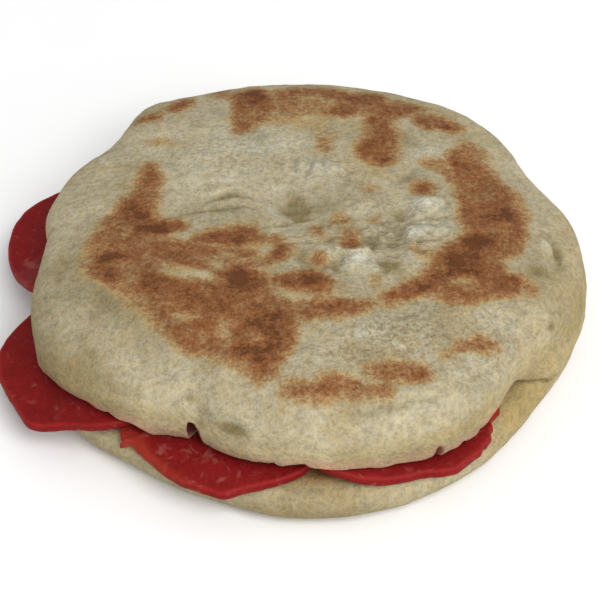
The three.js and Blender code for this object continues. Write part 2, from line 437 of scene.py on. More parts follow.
# Browned strokes
SCORCHES = strokes(
    # left of the middle: the stem, the left arm and the dark elbow
    (1, (-44, 27, 1.2), (-43.6, 21, 2.2), (-45.6, 15.5, 3.2), (-46, 10, 4.2), (-47, 3, 5.4)),
    (1, (-46, 7, 3), (-51, 0, 4.6), (-53, -8, 4.8), (-52.5, -15, 5.8)),
    (0.92, (-47, 0, 5.5), (-45, -10, 6.5), (-46, -18, 6.5)),
    (1, (-45, -1, 3.4), (-40, -2, 3.2), (-36, -0.5, 2.8)),
    # left of the middle: the bars round the pale gap
    (1, (-30, -7, 3.2), (-24, -6.4, 4.6), (-18, -5.2, 5), (-15.5, -2, 2.2)),
    (1, (-42, -11, 4), (-34, -15, 3), (-27, -17.5, 2)),
    (0.92, (-38, -8, 3.6), (-30, -10.5, 4.2), (-22, -12, 4.2), (-17, -13, 3)),
    (0.88, (-28, -15, 2.4), (-21, -15.4, 2.8)),
    (1, (-7.2, -10.5, 1.4), (-9.4, -14.5, 2.2), (-14.5, -17, 2.8), (-21, -19, 2.8)),
    # left of the middle: the broad body down to its point
    (1, (-53, -18, 5), (-46, -24.5, 5.4), (-36, -30, 6.8), (-26, -31, 8), (-17, -24, 6.4)),
    (1, (-33, -41, 3.6), (-27, -43, 7), (-19.5, -42, 10.4), (-13.5, -45, 10), (-13, -54, 3.8)),
    (1, (-24, -34, 7), (-13, -34, 6.4), (-9, -38, 6)),
    (0.9, (-15, -28, 4), (-11, -28, 2)),
    (0.5, (-38, -17.6, 2.4), (-33, -19, 2), (-28, -21, 1.4)),
    (0.42, (-8, -28.4, 1.8), (-1, -29, 2)),
    (1, (-9, -23.4, 1.8), (-4, -23.4, 2.8), (2, -24, 2.8), (7, -25, 2)),
    (0.88, (-9, -35, 2.6), (-1, -35.5, 3.2), (5, -33.8, 3.2), (10, -32.8, 2), (14, -31.5, 1)),
    # right of the middle: the low wing and the tall patch
    (1, (20, -29, 1.8), (25, -26.6, 2.4), (31.5, -23, 3.4), (37, -17, 4.8), (39.5, -11, 4)),
    (1, (36, -26, 3.2), (43, -23.5, 4.4), (49, -21.5, 5), (53.5, -20.5, 3.8), (57, -21.5, 1.6)),
    (0.92, (43.5, 38, 1.4), (44.6, 32, 5.4), (46, 24, 7), (47.6, 14, 8.6), (48.4, 5, 9.2), (48.2, -4, 9)),
    (1, (46, -9, 6.4), (42, -15, 6), (47, -17, 5)),
    (0.64, (32, 29.2, 1.2), (36, 28, 2.6), (40, 24, 3.4), (42, 20, 3)),
    (0.36, (41, 43, 1.6), (44, 40, 2.2)),
    # behind the middle, from left to right
    (0.9, (-47.5, 52.5, 1.5), (-44, 52, 1.6)),
    (0.9, (-38.6, 56.6, 2.2), (-37, 59, 2.8), (-35.8, 62, 2.4)),
    (0.24, (-46, 54.5, 2.6), (-40, 55, 2.6)),
    (0.42, (-46, 39.6, 1.5), (-38.5, 37.6, 1.3)),
    (0.9, (-26, 66, 2.8), (-21, 63.5, 3)),
    (1, (-17, 63, 4.4), (-17, 57, 5.6), (-18.6, 50, 2.9), (-19, 45.5, 1.6)),
    (0.72, (-8, 64, 2.4), (-6, 59, 3.4), (-7, 54, 2)),
    (0.5, (-10, 52, 4), (-2, 56, 6), (5, 57, 5)),
    (0.9, (-4, 64.5, 2.2), (3, 64.5, 2.6), (9, 63.5, 3.2)),
    (1, (5, 53, 1.8), (10, 55, 4), (13, 59, 5), (18, 61, 4.4)),
    (0.92, (18, 56, 5), (25, 57, 4.2), (33, 57, 1.8)),
    (0.3, (-4, 50, 3), (2, 47, 3.6), (5, 43, 3)),
    (0.62, (4, 39, 1.2), (4.2, 35, 1.4)),
    (0.95, (20, 51, 4.4), (20.4, 43, 5), (19.4, 36, 5.6), (20.4, 30.5, 3)),
    (0.98, (32.5, 54.5, 2.6), (35, 50.5, 4.2), (39, 48.6, 2.8), (41.4, 49, 1.4)),
    # front rim
    (0.86, (-5.4, -61, 1.4), (-3, -61, 1.9), (0, -61.6, 1.5)),
    (0.88, (2, -61.4, 1.8), (5, -60.6, 2.8), (9, -61.2, 2.4), (13, -61.6, 2), (18, -61, 2.2)),
    (0.9, (15.5, -56.2, 2.2), (19, -55.6, 3), (23, -55.6, 2.3), (28, -55.6, 2)),
    (0.84, (34.6, -48.8, 1.4), (38, -45.6, 1.9), (43, -43.4, 1.9), (47, -42.2, 0.9)),
    # small round spots
    (1.05, (31, 17.8, 2.9)),
    (0.85, (7.6, 3.4, 1.2), (9.4, 1.8, 1.4)),
    (1, (10.8, -3.6, 1.6), (11.2, -8, 1.9)),
    (0.8, (1.8, 0, 0.9), (2.4, -2.6, 1)),
    (0.55, (17.4, 3.4, 1.4)),
    (0.75, (2.2, -15, 1.5)),
    (0.72, (16.8, -22.6, 1.3), (17, -25, 1.2)),
    (0.75, (-9.4, -6, 1.4), (-9.6, -8.6, 1.2)),
    (0.48, (16, 17, 1.8)),
    (0.5, (27, -9.6, 1), (32.5, -13, 1.2)),
)

# Darkest places inside the marks
CHARS = ovals(
    (-41, -2, 5, 2.2, 2), (-35, 1, 2.4, 2, 0.8), (-54, -14, 4, 3.6, 0.8), (-45, 4, 3, 4, 0.7),
    (-24, -5, 6, 2.4, 0.5, 8), (-19, -22, 2.4, 5, 0.7), (-34, -40, 4, 3, 0.9, -20), (-14, -38, 5, 5, 0.7),
    (-14, -50, 4, 3, 0.6, -30), (-36, -26, 4, 2.4, 0.5, -25), (46.5, -5, 2.6, 2.4, 2),
    (42, -6, 2.2, 2.4, 1.6), (56.5, 2.5, 1.8, 3, 0.8), (51, 14, 4, 6, 0.5), (40, 30, 1.6, 2, 1.3),
    (37, -14.5, 4, 2.8, 1.1, -30), (31, -22, 5, 3, 0.8, 40), (42, -19, 4, 2.4, 0.7),
    (50, -21, 4, 3, 0.7, 10), (21.5, -28.8, 2, 1.2, 1, 30), (15, 60.5, 5, 3.6, 0.8, 30),
    (-16, 59, 3.6, 5, 0.9), (-19.6, 48, 2, 4, 0.8), (-45, 52, 2.2, 1.4, 0.9), (5.5, -33, 2.4, 2, 0.7),
    (1, -23.5, 3.4, 1.8, 0.7), (31, 17.8, 2, 2, 0.2), (27.5, -55.6, 2, 1.4, 0.7), (19, -55, 2.4, 1.8, 0.6),
    (4, -61.4, 2.4, 1.4, 0.7), (-3.4, -61, 1.6, 1.2, 0.7), (-25, -38, 8, 7, 0.6),
)

# Paler places inside the marks
PALE_GAPS = ovals(
    (-27.6, -22.2, 5.2, 2, 0.85, -24), (-35, -33, 3, 3, 0.25), (-21.8, -41, 2.2, 4.6, 0.45),
    (-22, -13.6, 2.4, 1.2, 0.35), (-11.6, -11.5, 1.4, 3.4, 0.6, -20), (40.5, -21.5, 2.6, 1.8, 0.45),
    (-14, -45, 2, 2, 0.3), (-40, -5.5, 3, 1.6, 0.35, -30), (-4.4, -29.4, 4.2, 1.6, 0.65),
)

# Flour on the top, partly painted highlight on the raised blisters
FLOURED = ovals(
    (24, -42, 22, 9, 0.5, 12), (-18, 34, 20, 13, 0.8), (-14, 8, 20, 8, 0.5, 10),
    (12.4, -13.6, 5, 2.6, 2, -48), (31, 10, 5, 4.4, 1.5), (28.4, -3.4, 3, 2.2, 1.35), (2, 26, 5, 3, 0.9),
    (61.8, -5, 2, 2.6, 1.9, -20), (22.4, -46.8, 2, 0.95, 4.6, -46), (33, 36, 6, 4, 0.8),
    (48, 23.4, 0.9, 0.7, 2),
)

# Coarser grain on the top
GRAINY = ovals(
    (22, -43, 28, 12, 1, 12), (-14, 34, 24, 14, 0.3),
)

# Flour on the wall, by direction and height
PALE_WALL = ovals(
    (334, 24, 4, 4.5, 1.2), (264, 22, 26, 3, 0.5), (277, 28, 7, 3, 0.9), (225, 20, 12, 2.4, 0.5),
)

# Hollows of the top, with their depths
DENTS = ovals(
    (0, 8, 28, 26, 1.5), (-3.5, 9, 8, 6.5, 3.2), (-27, 10, 17, 3, 1.2, 18), (-2, 2, 13, 3, 0.9, 10),
    (24.2, 5, 2.6, 2.8, 1.9), (24.4, -0.4, 1.6, 1.8, 0.9), (65, -10, 3, 6, 1.4), (-8, 44, 14, 9, 0.5),
    (27, -40, 18, 9, 0.5, 15),
)

# Folds and cracks of the top, each with its painted shade
CREASES = folds(
    (1.1, 1, (-39, 4.3, 0.5), (-33, 5.8, 1.1), (-26, 7.6, 1.2), (-20, 8.5, 1), (-13, 8.6, 0.4)),
    (1.1, 1, (-29, 10.6, 0.4), (-25, 13.2, 1), (-22, 14.6, 1.1), (-17, 13.6, 0.8), (-10, 12, 0.3)),
    (0.9, 1, (-15, -0.6, 0.3), (-10, 1.2, 0.9), (-6, 3.4, 1.1), (-2, 5.6, 1), (2, 6.6, 0.5)),
    (0.7, 0.8, (-8, -7.4, 0.3), (-2, -7.2, 0.6), (4, -6.2, 0.7), (8, -6.6, 0.3)),
    (0.7, 0.8, (3.6, 6, 0.3), (5.2, 2.4, 0.7), (5.8, -2, 0.7), (5, -6, 0.3)),
    (0.7, 1, (5.6, -10.6, 0.4), (6.4, -14, 0.9), (8.4, -17.4, 0.9), (12, -20.8, 0.5)),
    (0.7, 1, (13.4, -5.6, 0.3), (16, -9, 0.8), (17.8, -12.4, 0.5), (18.4, -15.4, 0.6), (17, -18.4, 0.3)),
    (0.7, 0.8, (20, -11.4, 0.3), (22, -12.6, 0.6), (24.4, -11.6, 0.3)),
    (0.8, 1, (37, 15, 0.5), (37.5, 12, 1.1), (36, 8.4, 0.8), (33.4, 6, 0.3)),
    (0.7, 0.8, (21, 8, 0.5), (20.6, 4.6, 0.7), (22.4, 1, 0.7), (23.4, -2.2, 0.5)),
    (0.7, 1, (25, -5, 0.4), (28.6, -6.8, 0.9), (33, -5.4, 0.8), (36, -3, 0.3)),
    (0.7, 0.8, (29.6, 1, 0.3), (33, -0.4, 0.7), (36, 1, 0.4)),
    (0.6, 1, (9.6, 25, 0.3), (11.4, 24.4, 0.9), (12.6, 24.6, 0.3)),
    (0.8, 0.6, (16.6, 24, 0.2), (21, 22, 0.6), (25.4, 20, 0.3)),
    (0.6, 1, (10, 9.4, 0.3), (11.6, 8, 0.8), (12.4, 7.6, 0.3)),
    (
        1.3, 0.7,
        (2, -67, 0.2), (14, -66.5, 0.6), (28, -63, 0.6), (40, -56, 0.6), (50, -46, 0.5), (57, -36, 0.3),
    ),
    (1.2, 0.6, (18, -70, 0.2), (33, -65.5, 0.5), (44, -57.5, 0.5), (52, -47.5, 0.2)),
    (1, 0.6, (44, -26.5, 0.2), (52, -28, 0.6), (60, -31, 0.4)),
    (0.9, 0.5, (42, -33, 0.2), (51, -33, 0.5), (59, -35.5, 0.3)),
    (0.36, 2.4, (62.1, -32.5, 0.6), (63, -31.6, 0.6)),
    (1.3, 0.7, (64.6, -2, 0.5), (66.2, -6.4, 1.3), (65.6, -11, 1), (62.5, -15, 0.4)),
    (0.7, 0.6, (-4, 31, 0.2), (-4.4, 25, 0.6), (-5, 19, 0.3)),
    (0.7, 0.6, (-0.6, 31, 0.2), (-0.4, 27, 0.6), (-1.4, 22, 0.2)),
    (0.7, 0.6, (3, 31.5, 0.2), (3.4, 27, 0.6), (2.4, 22, 0.2)),
)

# Crumpled crust
BLISTERED = ovals(
    (20, -6, 16, 13, 1), (3, -15, 8, 9, 0.7), (32, 6, 6, 10, 0.6), (6, 25, 12, 6, 0.45),
)

# Dull olive places on the top, partly painted shade in the dimple, the pits and beside the creases
SHADED = ovals(
    (-3.8, 8.6, 4.2, 3.4, 1.3), (-3.4, 8.2, 2.4, 2, 0.5), (-4, 13, 2.6, 4.4, 0.6), (7, 10.4, 6, 2.8, 0.34),
    (24.2, 5.6, 2.4, 2.6, 0.95), (24.5, 0, 1.6, 1.6, 0.6), (16.6, -9, 1.8, 1.4, 0.6, -40),
    (21.4, -14, 4.6, 3.6, 0.5), (4, 15, 11, 7, 0.36), (66, -8.6, 1.8, 4.6, 0.6),
    (62.3, -31.1, 1.4, 0.55, 1.3, 50), (60.4, -15, 3.2, 2.4, 0.8, 20), (22, -41, 26, 10, 0.38, 12),
    (-52, -30, 16, 12, 0.42, -50), (-21, 9, 15, 5, 0.5, 10), (28, 21.5, 3, 2.4, 0.6),
    (-56, -46, 5, 2.6, 0.4, -50), (27, 40, 4, 5, 0.45),
)

# Dull olive places on the wall, and painted shade on its left and right sides, low at the front and under the
# front slices, by direction and height
SMUDGES_AND_SHADE = ovals(
    (246.4, 26, 1.4, 2.6, 0.6), (243, 32, 1.6, 1, 0.8), (247.5, 30.6, 2, 1.4, 0.7),
    (250, 28.4, 2.2, 1.6, 0.4), (254.4, 29, 2.6, 1.8, 1.6), (290, 22.5, 10, 3.2, 0.65),
    (302, 27.5, 10, 4.5, 0.5), (226, 23, 6, 3, 0.35), (204, 25, 30, 10, 0.65), (216, 17, 20, 6, 0.4),
    (278, 23, 4, 1.6, 0.35), (262, 5, 40, 6, 0.68), (322, 10, 10, 5, 0.3), (345, 24, 14, 7, 0.55),
    (344, 31.6, 8, 3.6, 0.22), (226, 30.4, 8, 3, 0.35), (272, 10.6, 16, 3.6, 0.2),
)

# Golden places on the wall, by direction and height
GOLDEN = ovals(
    (322, 10, 9, 5, 1.2), (333, 11, 6, 3, 0.9), (345, 22, 16, 9, 0.6), (344, 31.6, 8, 4, 0.3),
    (300, 27, 14, 2.6, 0.6), (235, 12, 6, 2, 0.9), (205, 25, 26, 9, 0.3),
)

# Oil in the cut, by direction and height
OILED = ovals(
    (272, 12, 5, 3, 1), (226, 12, 3.5, 3, 0.9),
)

# Blisters of the top, with their heights
DOMES = ovals(
    (28.4, -3.2, 3.2, 2.4, 1.5), (12.6, -13.4, 5.4, 3, 1.9, -48), (31, 10, 4.6, 4, 1.4),
    (18.4, -3, 3.4, 3, 0.8), (21.4, -17, 3.2, 2.4, 0.8), (1, -10.6, 3, 2.2, 0.7), (9.6, -1, 2.6, 3, 0.6),
    (1.2, 25.6, 1.5, 2.8, 0.7), (-2.4, 27.4, 1.4, 2.6, 0.6), (8, 27, 3, 2.4, 0.7), (15.6, 22.6, 3, 2, 0.5),
    (61.8, -5, 2.4, 3, 1.5, -20), (-22, 11.5, 7, 1.5, 0.5, 12),
)

# Tears in the upper lip
TEARS = (
    Tear(244.4, 1.15, 10.6, -3.6),
    Tear(295.3, 0.6, 3.8),
    Tear(301.5, 0.9, 1.1),
    Tear(306, 0.8, 1.3),
    Tear(309.5, 0.9, 0.9),
    Tear(262, 0.7, 0.7),
    Tear(226, 0.7, 0.7),
    Tear(268.5, 0.8, 0.6),
)


# Meshes from grids

def grid_mesh(name: str, grid: Array, fields: dict[str, Array]) -> bpy.types.Object:
    """Makes a closed piece from a grid of points whose columns go round and whose end rows are poles.

    Args:
        name: of the object and its mesh.
        grid: rows by columns of points, in millimetres, the rows running out from the upper pole.
        fields: values for each point, kept as attributes of the mesh.

    Returns:
        The new object, at the origin, with smooth shading.
    """
    rows, columns = grid.shape[:2]
    inner = grid[1:-1].reshape(-1, 3)
    points = np.concatenate([grid[:1, 0], inner, grid[-1:, 0]]) * MM
    index = 1 + np.arange((rows - 2) * columns).reshape(rows - 2, columns)
    beside = np.roll(index, -1, axis=1)
    quads = np.stack([index[:-1], index[1:], beside[1:], beside[:-1]], axis=-1).reshape(-1, 4)
    last = len(points) - 1
    upper = np.stack([np.zeros(columns, int), index[0], beside[0]], axis=-1)
    lower = np.stack([np.full(columns, last), beside[-1], index[-1]], axis=-1)
    mesh = bpy.data.meshes.new(name)
    mesh.from_pydata(points.tolist(), [], upper.tolist() + quads.tolist() + lower.tolist())
    for key, field in fields.items():
        values = np.concatenate([field[0, :1], field[1:-1].ravel(), field[-1, :1]])
        attribute = mesh.attributes.new(key, "FLOAT", "POINT")
        attribute.data.foreach_set("value", values.astype(np.float32))
    mesh.shade_smooth()
    mesh.validate()
    piece = bpy.data.objects.new(name, mesh)
    bpy.context.scene.collection.objects.link(piece)
    return piece


def spaced_directions(columns: int, crowds: tuple[Bump, ...], steps: int = 7200) -> Array:
    """Directions of a grid's columns, spread by equal shares of a density that swells at the crowds.

    Args:
        columns: how many directions there are.
        crowds: where the columns stand closer together, and how much.
        steps: how finely the density is added up.

    Returns:
        One row of directions in radians.
    """
    fine = np.linspace(0.0, 2.0 * math.pi, steps + 1)
    density = Outline(1.0, crowds).at(fine)
    reached = np.concatenate([[0.0], np.cumsum((density[1:] + density[:-1]) / 2.0)])
    return np.interp(np.linspace(0.0, reached[-1], columns, endpoint=False), reached, fine)[None, :]


def grid_normals(grid: Array) -> Array:
    """Outward unit normals of a closed grid: the cross product of its steps along rows and columns."""
    outwards = np.gradient(grid, axis=0)
    round_step = np.roll(grid, -1, axis=1) - np.roll(grid, 1, axis=1)
    normal = np.cross(outwards, round_step)
    normal[0] = (0.0, 0.0, 1.0)
    normal[-1] = (0.0, 0.0, -1.0)
    return normal / np.maximum(np.linalg.norm(normal, axis=-1, keepdims=True), TINY)


# The bread

class Part(Enum):
    """Stretches of the bread's skin, from the middle of the top to the middle of the underside."""

    TOP = 0
    UPPER_LIP = 1
    ROOF = 2
    TIP = 3
    FLOOR = 4
    LOWER_LIP = 5
    LOWER_EDGE = 6
    BASE = 7


class Band(NamedTuple):
    """One stretch of the skin: its rows, its surface, and the shares of the uncut wall it becomes."""

    part: Part
    rows: int
    place: Callable[[Array, Array], Array]
    wall: Optional[Span] = None


class Skin(NamedTuple):
    """The bread's skin on its grid: points, the part and the share of it at each one, and the directions.

    Marks of the top set in over the heights of the shoulder, and those of the wall over the outer distances.
    """

    grid: Array
    part: Array
    share: Array
    angle: Array
    shoulder: Span = (25.5, 31.0)
    outer: Span = (52.0, 58.0)

    def on(self, *parts: Part) -> Array:
        """Which places belong to one of some parts."""
        return np.isin(self.part, [part.value for part in parts])

    def top_share(self) -> Array:
        """How fully each place is on the top crust: 0 below the shoulder, 1 above it."""
        return np.where(self.on(Part.TOP), ease(self.grid[..., 2], *self.shoulder), 0.0)

    def on_top(self, patches: Patches, most: float = math.inf) -> Array:
        """Sum of oval areas placed on the top by x and y, held at a most."""
        x, y, _ = np.moveaxis(self.grid, -1, 0)
        return np.clip(patched(x, y, patches), 0.0, most) * self.top_share()

    def on_wall(self, patches: Patches, most: float = math.inf) -> Array:
        """Sum of oval areas placed on the wall by direction and height, held at a most."""
        x, y, z = np.moveaxis(self.grid, -1, 0)
        direction = np.degrees(self.angle) + np.zeros_like(z)
        return np.clip(patched(direction, z, patches) * ease(np.hypot(x, y), *self.outer), 0.0, most)


@dataclass
class Flatbread:
    """The bread: one closed skin, worked out on a grid of directions and rows."""

    # Outlines of the two halves and the setback of the upper lip
    upper: Outline = bumpy(
        74.2,
        (25, 14, -5.6), (58, 9, 0.6), (110, 9, 0.9), (126, 9, 4.4), (143, 10, -3), (169.5, 5, 1),
        (175, 2.5, -0.9), (178, 12, -2.6), (208, 14.5, 4.4), (243, 11, -5), (262, 14, -1.6), (268, 44, -1),
        (299, 11, 2.4), (325, 14, -5.5),
    )
    lower: Outline = bumpy(
        73.0,
        (25, 20, -3.8), (195, 14, -1.5), (215, 11, 3.8), (232, 14, 0.6), (264, 10, 0.9), (276, 22, 2.4),
        (328, 20, -3.6), (352, 24, 1.8),
    )
    lip: Outline = bumpy(
        2.5,
        (174, 6, -1), (203.5, 5, -2.6), (230, 11, -2), (257, 6, 1.1), (265, 5, 1.3), (272, 5.5, -1.6),
        (276, 12, -0.9), (297, 12, 2.3), (315, 12, 5.3),
    )
    pocket: Pocket = Pocket()
    upper_level: float = 25.0
    lower_level: float = 7.0
    top_height: float = 38.0
    tilt_x: float = -0.02
    tilt_y: float = -0.06
    shoulder_power: float = 3.0
    lower_lip_setback: float = 5.0
    base_setback: float = 9.0

    # Ragged lip and its tears
    lip_rags: Ripples = (Ripple(0.35, 6.0), Ripple(0.3, 2.2))
    crumbly_lip: Outline = bumpy(1.0, (303, 13, 1.6))
    tear_setback: float = 0.3
    tear_reach: float = 4.0
    deep_tear: float = 3.0

    # Uncut wall, whose seam is placed by the share of its height and runs on from the ends of the cut
    wall_bulge: float = 1.6
    seam: Outline = bumpy(0.59, (-26.5, 3.2, 0.14))
    seam_ends: tuple[Bump, ...] = (Bump(-31, 26, 1.0), Bump(128, 13, 0.8))
    seam_depth: float = 0.8
    seam_width: float = 0.035
    seam_shade: Bump = Bump(0, 0.7, 1.2)
    corner: Bump = Bump(-25, 7, 1.3)
    corner_rise: Span = (0.1, 0.35)

    # Grid: its columns, and how rows crowd at the lips
    columns: int = 440
    crowds: tuple[Bump, ...] = (Bump(244, 3.5, 4.0), Bump(303, 9, 1.5))
    row_crowding: float = 1.8

    # Relief
    lumps: Lattice = Lattice(7)
    grain: Lattice = Lattice(23)
    broad_lumps: Ripples = (Ripple(0.7, 26.0), Ripple(0.4, 11.0))
    pebbles: Ripples = (Ripple(0.14, 3.4), Ripple(0.08, 1.8))
    crumple_height: float = 2.0
    crumple_lumps: Ripple = Ripple(0.7, 5.5, 50.0)
    crumple_grain: Ripple = Ripple(0.45, 2.4)
    crease_swell: float = 0.4
    crease_sideways: Ripples = (Ripple(0.9, 4.5, 90.0), Ripple(0.5, 1.9, 90.0))
    crease_lengthways: Ripples = (Ripple(0.9, 4.5, 140.0), Ripple(0.5, 1.9, 140.0))
    crease_share: float = 0.75
    crease_gaps: Ripple = Ripple(0.9, 4.0, 210.0)
    crease_range: Span = (0.15, 1.2)
    upper_lip_calm: float = 0.6
    lower_lip_calm: float = 0.8
    edge_calm: float = 0.85
    base_relief: float = 0.15

    # Browning, and the pink of the sausage on the upper lip with painted shade where the lip rolls under, by
    # its degrees from a middle
    mark_edge: Ripples = (Ripple(2.0, 8.0), Ripple(1.0, 4.0, 17.0), Ripple(0.5, 1.7))
    mark_fade: Span = (-3.8, 2.8)
    mark_lumps: Ripple = Ripple(0.24, 8.0, 400.0)
    mark_grain: Ripple = Ripple(0.24, 3.0, 400.0)
    mark_share: float = 1.05
    base_marks: Ripples = (
        Ripple(1.0, 34.0, 300.0), Ripple(0.5, 17.0, 317.0),
        Ripple(0.25, 8.5, 334.0), Ripple(0.125, 4.25, 351.0),
    )
    base_fade: Span = (-0.1, 0.35)
    base_start: Span = (0.75, 1.0)
    stain_middle: float = 256.0
    stain_start: Span = (-75.0, -45.0)
    stain_widens: Span = (20.0, 50.0)
    stain_end: Span = (55.0, 72.0)
    oil_start: Span = (1.4, 3.4)
    torn_start: Span = (0.05, 0.3)
    torn_edge: Span = (0.02, 0.15)

    # Painted shade in creases and hollows, the halo round the marks, floury white and painted highlight on
    # the crests, and the buttery stretch of the wall
    halo: Span = (-11.0, -2.0)
    halo_shade: float = 0.3
    gap_clearing: float = 0.8
    hollow_depth: Span = (0.03, 0.4)
    hollow_shade: float = 0.6
    most_shade: float = 1.6
    flour_clearing: Span = (1.3, 2.2)
    crest_height: Span = (0.05, 0.42)
    crest_flour_and_highlight: float = 0.8
    wall_top: Span = (24.0, 33.0)
    wall_foot: Span = (8.0, 18.0)
    foot_share: float = 0.3

    def lip_setback(self, angle: Array) -> Array:
        """Setback of the upper lip: its size, ragged by noise along the rim, deeper at the tears."""
        rim = polar(angle, self.upper.radius, 0.0)
        ragged = self.crumbly_lip.at(angle) * self.grain.at(rim, *self.lip_rags)
        return self.lip.at(angle) + ragged + self.tear_setback * self.tear_height(angle)

    def tear_height(self, angle: Array) -> Array:
        """Height of the tears in the upper lip, steep-sided bells round their directions."""
        return np.max([tear.height * tear.at(angle) for tear in TEARS], axis=0)

    def leaned(self, angle: Array, share: Array) -> Array:
        """Directions turned by a share of the lean of the tears."""
        return angle + np.radians(sum(tear.lean * tear.at(angle) for tear in TEARS)) * share

    def place_top(self, angle: Array, share: Array) -> Array:
        """Top crust: z falls from the tilted, dented top to the widest level along a squared ellipse."""
        reach = np.sin(share * math.pi / 2.0)
        place = polar(angle, reach * self.upper.at(angle), 0.0)
        x, y = place[..., 0], place[..., 1]
        top = self.top_height + self.tilt_x * x + self.tilt_y * y - patched(x, y, DENTS)
        power = self.shoulder_power
        fall = np.maximum(0.0, 1.0 - reach**power) ** (1.0 / power)
        place[..., 2] = lerp(self.upper_level, top, fall)
        return place

    def place_upper_lip(self, angle: Array, share: Array) -> Array:
        """Underside of the upper rim: a quarter ellipse from the widest level to the lip."""
        turn = share * math.pi / 2.0
        radius, setback = self.upper.at(angle), self.lip_setback(angle)
        x, y = self.pocket.ray(angle, radius - setback, 0.0)
        lip = cut_roof(x, y, self.pocket) + self.tear_height(angle)
        distance = radius - setback * (1.0 - np.cos(turn))
        return polar(self.leaned(angle, np.sin(turn)), distance, lerp(self.upper_level, lip, np.sin(turn)))

    def place_roof(self, angle: Array, share: Array) -> Array:
        """Upper cut face, from the lip to the tip, with the tears running out inwards."""
        lip = self.upper.at(angle) - self.lip_setback(angle)
        inwards = share**self.row_crowding
        x, y = self.pocket.ray(angle, lip, inwards)
        fading = np.exp(-np.hypot(x - lip * np.cos(angle), y - lip * np.sin(angle)) / self.tear_reach)
        x, y = self.pocket.ray(self.leaned(angle, fading), lip, inwards)
        return np.stack([x, y, cut_roof(x, y, self.pocket) + self.tear_height(angle) * fading], axis=-1)

    def place_floor(self, angle: Array, share: Array) -> Array:
        """Lower cut face, from the tip out to the lip."""
        lip = self.lower.at(angle) - self.lower_lip_setback
        x, y = self.pocket.ray(angle, lip, (1.0 - share) ** self.row_crowding)
        return np.stack([x, y, self.pocket.floor(x, y)], axis=-1)

    def place_tip(self, angle: Array, share: Array) -> Array:
        """The narrow step that closes the cut at its tip."""
        roof = self.place_roof(angle, np.ones_like(share))
        floor = self.place_floor(angle, np.zeros_like(share))
        return lerp(roof, floor, share[..., None])

    def place_lower_lip(self, angle: Array, share: Array) -> Array:
        """Lower rim: a quarter ellipse from its lip to its widest level."""
        turn = share * math.pi / 2.0
        radius = self.lower.at(angle)
        lip = self.pocket.floor(*self.pocket.ray(angle, radius - self.lower_lip_setback, 0.0))
        distance = radius - self.lower_lip_setback * (1.0 - np.sin(turn))
        return polar(angle, distance, lerp(self.lower_level, lip, np.cos(turn)))

    def place_lower_edge(self, angle: Array, share: Array) -> Array:
        """Rounded lower edge: a quarter ellipse in to the flat underside."""
        turn = share * math.pi / 2.0
        distance = self.lower.at(angle) - self.base_setback * (1.0 - np.cos(turn))
        return polar(angle, distance, self.lower_level * (1.0 - np.sin(turn)))

    def place_base(self, angle: Array, share: Array) -> Array:
        """Flat underside, in to its middle."""
        return polar(angle, (1.0 - share) * (self.lower.at(angle) - self.base_setback), 0.0)

    def seam_strength(self, angle: Array) -> Array:
        """How strong the seam is: strongest at the ends of the cut, fading along the uncut wall."""
        return np.max([end.at(angle) for end in self.seam_ends], axis=0)

    def place_wall(self, angle: Array, share: Array) -> Array:
        """Uncut wall: a bulged blend of both outlines, with the cut's end running on as a seam.

        At the right end of the cut the wall above the seam stands out as a rounded corner.
        """
        bulge = self.wall_bulge * 4.0 * share * (1.0 - share)
        seam_share = self.seam.at(angle)
        seam = self.seam_depth * self.seam_strength(angle) * hill(share - seam_share, self.seam_width)
        above = 1.0 - ease(share, seam_share - self.corner_rise[0], seam_share)
        corner = self.corner.at(angle) * (ease(share, *self.corner_rise) * above)
        distance = lerp(self.upper.at(angle), self.lower.at(angle), share) + bulge - seam + corner
        return polar(angle, distance, lerp(self.upper_level, self.lower_level, share))

    def bands(self) -> tuple[Band, ...]:
        """The stretches of the skin in order; the cut's faces take narrow shares of the uncut wall."""
        seam = self.seam.radius
        return (
            Band(Part.TOP, 140, self.place_top),
            Band(Part.UPPER_LIP, 22, self.place_upper_lip, (0.0, seam - 0.04)),
            Band(Part.ROOF, 10, self.place_roof, (seam - 0.04, seam - 0.01)),
            Band(Part.TIP, 1, self.place_tip, (seam - 0.01, seam + 0.01)),
            Band(Part.FLOOR, 6, self.place_floor, (seam + 0.01, seam + 0.04)),
            Band(Part.LOWER_LIP, 14, self.place_lower_lip, (seam + 0.04, 1.0)),
            Band(Part.LOWER_EDGE, 10, self.place_lower_edge),
            Band(Part.BASE, 20, self.place_base),
        )

    def skin(self) -> Skin:
        """Smooth skin without relief: each band's surface on the grid, blended into the wall where uncut."""
        angle = spaced_directions(self.columns, self.crowds)
        joined = self.pocket.joined(angle)[..., None]
        blocks, parts, shares = [], [], []
        for band in self.bands():
            first = 0 if band.part is Part.TOP else 1
            share = np.linspace(0.0, 1.0, band.rows + 1)[first:, None]
            block = band.place(angle, share) + np.zeros((len(share), angle.size, 3))
            if band.wall:
                block = lerp(block, self.place_wall(angle, lerp(*band.wall, share)), joined)
            blocks.append(block)
            parts += [band.part.value] * len(share)
            shares.append(share + np.zeros_like(angle))
        grid = np.concatenate(blocks)
        part = np.array(parts)[:, None] + np.zeros(grid.shape[:2], int)
        return Skin(grid, part, np.concatenate(shares), angle)

    def cut(self, skin: Skin) -> Array:
        """How fully each place lies over the cut: 0 where the bread is joined."""
        return 1.0 - self.pocket.joined(skin.angle)

    def inside(self, skin: Skin) -> Array:
        """How fully each place is on a cut face."""
        return skin.on(Part.ROOF, Part.TIP, Part.FLOOR) * self.cut(skin)

